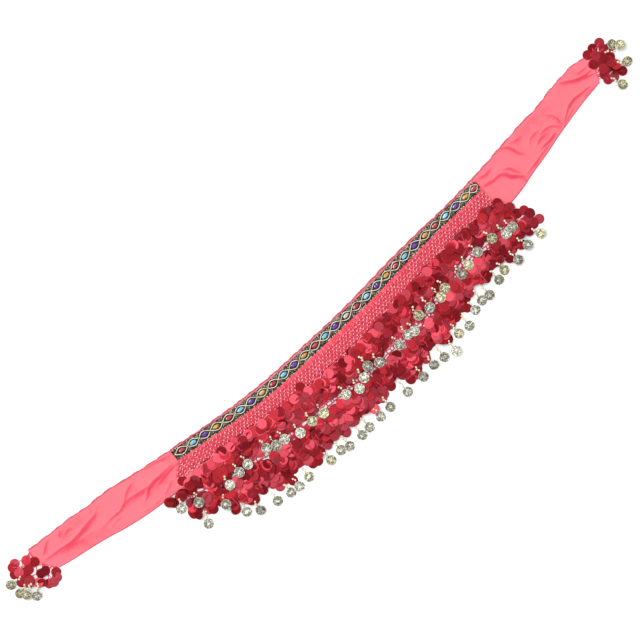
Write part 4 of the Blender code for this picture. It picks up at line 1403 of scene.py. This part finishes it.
def made_shape(name, points, faces, key, values, smooth):
    """A small closed shape to put on points, with one named value for each of its own."""
    mesh = bpy.data.meshes.new(name)
    mesh.from_pydata(points, [], faces)
    mesh.attributes.new(key, "FLOAT", "POINT").data.foreach_set("value", values)
    mesh.polygons.foreach_set("use_smooth", [smooth] * len(mesh.polygons))
    return outward(bpy.data.objects.new(name, mesh))


def paillette_shape(fringe):
    """A paillette: a round film, flat in the middle, with its rim pressed down by the punch."""
    radius, half, sides = fringe.paillette / 2, fringe.film / 2, 18
    drop = 0.012 * radius
    points = []
    for share, high in ((0.9, half), (1.0, half - drop), (1.0, -half - drop)):
        for turn in (k * math.tau / sides for k in range(sides)):
            x, y = swung(turn, share * radius)
            points.append((x, y, high))
    faces = [tuple(range(sides)), tuple(range(3 * sides - 1, 2 * sides - 1, -1))]
    for k in range(sides):
        j = (k + 1) % sides
        for ring in (0, sides):
            faces.append((ring + k, ring + sides + k, ring + sides + j, ring + j))
    rims = [0.0] * sides + [1.0] * 2 * sides
    return made_shape("paillette_shape", points, faces, "rim", rims, False)


def coin_relief(share, turn):
    """How far a coin is raised at a share of its radius: rim, pellets, then the rosette."""
    if share > 0.9:
        return 1.0
    if share > 0.65:
        return 0.75 if math.cos(16 * turn) > 0 and 0.7 <= share <= 0.8 else 0.05
    petal = 0.62 * (0.55 + 0.45 * math.cos(8 * turn))
    return 0.95 if share < petal + 0.02 else 0.15


def coin_shape(fringe):
    """A coin: raised rim, ring of pellets and an eight-petal rosette, the same on both faces."""
    shares = (0.12, 0.3, 0.46, 0.6, 0.7, 0.8, 0.88, 0.94, 1.0)
    sides = 32
    steps = [(k, (k + 1) % sides) for k in range(sides)]
    points, values, faces = [], [], []
    for face in (1, -1):
        first = len(points)
        points.append((0, 0, 0.5 * face * MM))
        values.append(0.9)
        for share in shares:
            for k in range(sides):
                turn = k * math.tau / sides
                raised = coin_relief(share, turn)
                high = 0.25 + 0.35 * raised if share < 1 else 0.3
                x, y = swung(turn, share * fringe.coin_size / 2)
                points.append((x, y, high * face * MM))
                values.append(raised)
        for k, j in steps:
            faces.append((first, first + 1 + k, first + 1 + j)[::face])
            for a in range(first + 1 + k, len(points) - sides, sides):
                b = a - k + j
                faces.append((a, a + sides, b + sides, b)[::face])
    rim, other = len(points) // 2 - sides, len(points) - sides
    faces += [(rim + k, other + k, other + j, rim + j) for k, j in steps]
    return made_shape("coin_shape", points, faces, "relief", values, True)


def hang_coins(name, root_of, fringe, finishes, rng, tilt=0.0):
    """Coins where they lie, each with pearl beads on the thread that leads to its string's
    root, found from the coin's x. tilt is the slope that the thread's twist holds a coin at,
    give or take a third. Without it, one coin in eight is held so."""
    rows, beads, links = [], [], []
    radius, bead = fringe.coin_size / MM / 2, fringe.bead_size / MM
    for x, y in COINS[name]:
        laid = None
        if tilt or rng.random() < 0.12:
            steep = (tilt or 0.3) * rng.uniform(0.67, 1.33)
            slopes = [swung(rng.uniform(0, math.tau), steep)]
            laid = PILE.settle(x, y, radius, COIN_THICK, slopes, highest=8.0)
        high, *slope = laid or PILE.settle(x, y, radius, COIN_THICK, some_slopes(rng, 0.13))
        turn = tipped(*slope, rng.uniform(0, math.tau))
        rows.append(((x, y, high), turn, (1, 1, 1), rng.uniform(0.7 if tilt else 0.0, 1.0)))
        way = root_of(x) - (x, y)
        way = way / math.hypot(*way)
        side = np.array((-way[1], way[0]))
        at = (x, y) + way * (radius + 1.4)
        level = min(max(high, PILE.height(*at) + 0.8), HIGHEST_LINK)
        links.append(((*at, level), (0, 0, math.atan2(way[1], way[0])), COIN_LINK, 0.4))
        down = radius + 2.8 + bead / 2
        zigzag = rng.choice((-1, 1))
        for _ in range(rng.choice((2, 2, 3))):
            zigzag = -zigzag
            at = (x, y) + way * down + side * zigzag * rng.uniform(0.6, 1.6)
            level = min(max(PILE.height(*at) + bead * 0.42, bead * 0.5), HIGHEST_BEAD)
            size = bead * rng.uniform(0.85, 1.1)
            turn = (0, 0, rng.uniform(0, 3))
            beads.append(((*at, level), turn, (size, size * 0.9, size * 0.9), rng.uniform(0.4, 1)))
            down += bead * 0.9
    return [
        scatter(f"{name}_coins", finishes["coin"], rows, shape=finishes["coin_shape"]),
        scatter(f"{name}_beads", finishes["bead"], beads, segments=10, rings=7),
        scatter(f"{name}_links", finishes["link"], links),
    ]


def loose_loops(name, ways, shade, rng):
    """Threads of crochet that come up between the paillettes, lie over them and go down again."""
    starts = []
    for root, tip in ways:
        if rng.random() < 0.22:
            at = root + (tip - root) * rng.uniform(0.0, 0.5)
            starts.append((*at, rng.uniform(12, 30), rng.choice((-2, -1, 0, 1, 2))))
    lines, tones = [], []
    share = np.linspace(0, 1, 9)
    # Both ends go down between the paillettes
    dip = 2.5 * abs(2 * share - 1) ** 6
    for x, y, reach, spread in starts:
        sway = rng.uniform(0.2, 0.8) * np.sin(math.tau * share + rng.uniform(0, 6))
        lx, ly = x + spread * np.sin(np.pi * share) + sway, y - reach * share
        lz = [max(PILE.height(a, b) + 0.7 - low, 1.2) for a, b, low in zip(lx, ly, dip)]
        lines.append(path(lx, ly, lz))
        tones.append(rng.uniform(0.25, 0.6))
    return cords(name, shade, lines, 2.3, tones)


def lay_row(name, fringe, finishes, shade, rng, roots_on, reach, fan, drop, thinning=False):
    """One row of the fringe: its strings of paillettes, its loose loops and its coins. fan is
    how far the end strings lean out, and drop how far down the first paillettes hang."""
    ways = []
    for x in np.arange(reach[0][0] + 1, reach[-1][0], fringe.pitch / MM):
        x = float(x) + rng.uniform(-2.5, 2.5)
        ways.append((string_root(x, roots_on, reach, fan), np.array((x, curve_y(reach, x)))))
    places = fringe_places(ways, fringe, rng, drop, thinning)
    rows = lay_discs(rng, [*places, *STRAYS[name]], fringe)
    film, disc = finishes["paillette"], finishes["disc_shape"]
    node = f"{name}_fringe"
    scatter(f"{name}_paillettes", film, rows, shape=disc, replaced=[node])
    loose_loops(f"{name}_loops", ways[2:-2], shade, rng)
    hang_coins(name, lambda x: string_root(x, roots_on, reach, fan), fringe, finishes, rng)


def build_tassel(name, upper_x, out, fringe, finishes, yarn, rng):
    """A tie's bunch of paillettes, coins, beads and the threads that hold them."""
    hem = cloth_line(upper_x, np.linspace(0.06, 0.94, 23))
    lines, tones = [], []
    for x, y, _ in TASSEL_DISCS[name]:
        start = hem[rng.randrange(len(hem))]
        middle = (start + (x, y)) / 2 + (0, rng.uniform(-2, 2))
        lines.append([(start[0] - out * 3, start[1], 0.9), (*middle, 0.8), (x, y, 0.8)])
        tones.append(rng.uniform(0.2, 0.6))
    # The thread is wound in short thick turns where it leaves the hem
    for x, y in hem[1::2]:
        reach, lean = rng.uniform(4, 10), rng.uniform(-3, 3)
        lines.append([(x - out * 3, y, 1.2), (x + out * reach, y + lean, 0.9)])
        tones.append(rng.uniform(0.1, 0.7))
    for line in lines:
        PILE.raise_line(line, 1.9)
    rows = lay_discs(rng, TASSEL_DISCS[name], fringe)
    film, disc = finishes["paillette"], finishes["disc_shape"]
    scatter(f"{name}_paillettes", film, rows, shape=disc, replaced=[name])
    cords(f"{name}_threads", yarn, lines, 1.6, tones)
    hang_coins(name, lambda x: hem[11], fringe, finishes, rng, tilt=0.3)


def build_fringe(fringe, yarn, shade, rng):
    """Both rows and both tassels, from the floor up."""
    finishes = {
        "paillette": paillette_finish(fringe),
        "coin": coin_finish(fringe),
        "bead": bead_finish("Pearl_bead_cream", fringe.bead),
        "link": metal_thread_finish(bpy.context.scene.scarf_trim),
        "disc_shape": paillette_shape(fringe),
        "coin_shape": coin_shape(fringe),
    }
    given = (fringe, finishes, shade, rng)
    lay_row("lower", *given, CHAIN_LINE, LOWER_REACH, fan=30, drop=15, thinning=True)
    lay_row("upper", *given, UPPER_ROOTS, UPPER_REACH, fan=20, drop=7.5)
    build_tassel("left_tassel", UPPER_EDGE[0][0], -1, fringe, finishes, yarn, rng)
    build_tassel("right_tassel", UPPER_EDGE[-1][0], 1, fringe, finishes, yarn, rng)
    for shape in ("disc_shape", "coin_shape"):
        bpy.data.objects.remove(finishes[shape])


def build_stage(stage):
    """The floor, the light and the camera."""
    half = stage.size / MM / 2
    corners = [(half * x, half * y, -0.05) for x, y in ((-1, -1), (1, -1), (1, 1), (-1, 1))]
    floor = mesh_piece("floor", corners, [(0, 1, 2, 3)], smooth=False)
    floor.data.materials.append(floor_finish(stage))
    scene = bpy.context.scene
    scene.world = bpy.data.worlds.new("Studio")
    scene.world.use_nodes = True
    back = scene.world.node_tree.nodes["Background"]
    back.inputs["Color"].default_value = (1, 1, 1, 1)
    back.inputs["Strength"].default_value = stage.fill
    lamp = bpy.data.lights.new("Soft_key", "AREA")
    lamp.shape, lamp.size, lamp.energy = "DISK", 4.0, stage.key
    key = bpy.data.objects.new("Soft_key", lamp)
    key.location = (-0.7, 2.4, 5.0)
    key.rotation_euler = (-key.location).to_track_quat("-Z", "Y").to_euler()
    data = bpy.data.cameras.new("Overhead")
    data.lens, data.sensor_width = stage.lens, 36
    data.clip_start, data.clip_end = 0.1, 50
    camera = bpy.data.objects.new("Overhead", data)
    x, y, _ = put(VIEW_MIDDLE)
    camera.location = (x, y, stage.width * stage.lens / data.sensor_width)
    camera.rotation_euler = (0, 0, math.radians(-VIEW_TURN))
    for placed in (key, camera):
        scene.collection.objects.link(placed)
    scene.camera = camera
    scene.view_settings.view_transform = "Standard"


# Operators


def fixed_dice(context, step):
    """The same random draws each time for a making step."""
    return random.Random(context.scene.scarf_fringe.seed * 100 + step)


class LayChiffon(bpy.types.Operator):
    """Lays the doubled chiffon and binds its upper edge"""

    bl_idname = "scarf.chiffon"
    bl_label = "Lay Chiffon"

    def execute(self, context):
        cloth = context.scene.scarf_cloth
        chiffon = build_chiffon(cloth)
        binding = build_overlock(cloth, fixed_dice(context, 1))
        return {"FINISHED"}


class WorkCrochet(bpy.types.Operator):
    """Works the beaded crochet band, the net, its ladder chain and the puckered edging"""

    bl_idname = "scarf.crochet"
    bl_label = "Work Crochet"

    def execute(self, context):
        crochet = context.scene.scarf_crochet
        band, yarn, shade = build_header(crochet, fixed_dice(context, 2))
        net = build_net(yarn, shade, fixed_dice(context, 3))
        edging = build_edging(crochet, fixed_dice(context, 4))
        band += edging
        for (ground, *worked), cut, carrier in (
            (band, HEADER_CUT, "chiffon"), (net, NET_CUT, "floor"),
        ):
            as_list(worked)
        return {"FINISHED"}


class SetTrim(bpy.types.Operator):
    """Sews on the metallic ribbon and sets its stones"""

    bl_idname = "scarf.trim"
    bl_label = "Set Trim and Stones"

    def execute(self, context):
        trim = context.scene.scarf_trim
        ground, *raised = build_ribbon(trim, fixed_dice(context, 5))
        stones = build_stones(trim, fixed_dice(context, 6))
        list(raised)
        return {"FINISHED"}


class HangFringe(bpy.types.Operator):
    """Hangs both rows of paillettes and coins, and a bunch on each tie"""

    bl_idname = "scarf.fringe"
    bl_label = "Hang Fringe"

    def execute(self, context):
        yarn = bpy.data.materials["Crochet_yarn_glossy"]
        shade = bpy.data.materials["Crochet_ground_in_shade"]
        build_fringe(context.scene.scarf_fringe, yarn, shade, fixed_dice(context, 7))
        return {"FINISHED"}


class SetStage(bpy.types.Operator):
    """Makes the pale floor, the soft light and the overhead camera"""

    bl_idname = "scarf.stage"
    bl_label = "Set Stage"

    def execute(self, context):
        build_stage(context.scene.scarf_stage)
        return {"FINISHED"}


OPERATORS = (LayChiffon, WorkCrochet, SetTrim, HangFringe, SetStage)
GROUPS = {
    "scarf_cloth": ScarfCloth,
    "scarf_crochet": ScarfCrochet,
    "scarf_trim": ScarfTrim,
    "scarf_fringe": ScarfFringe,
    "scarf_stage": ScarfStage,
}


class ScarfPanel(bpy.types.Panel):
    """The scarf's sizes, colours and making steps"""

    bl_idname = "VIEW3D_PT_hip_scarf"
    bl_label = "Hip Scarf"
    bl_space_type = "VIEW_3D"
    bl_region_type = "UI"
    bl_category = "Hip Scarf"

    def draw(self, context):
        for group, operator in zip(GROUPS, OPERATORS):
            box = self.layout.box()
            settings = getattr(context.scene, group)
            for key in settings.bl_rna.properties.keys():
                if key not in ("rna_type", "name"):
                    box.prop(settings, key)
            box.operator(operator.bl_idname)


def register():
    for kind in (*GROUPS.values(), *OPERATORS, ScarfPanel):
        bpy.utils.register_class(kind)
    for key, kind in GROUPS.items():
        setattr(bpy.types.Scene, key, PointerProperty(type=kind))


def unregister():
    for key in GROUPS:
        delattr(bpy.types.Scene, key)
    for kind in (ScarfPanel, *reversed(OPERATORS), *reversed(list(GROUPS.values()))):
        bpy.utils.unregister_class(kind)


def main():
    register()
    for operator in OPERATORS:
        family, name = operator.bl_idname.split(".")
        getattr(getattr(bpy.ops, family), name)()


if __name__ == "__main__":
    main()
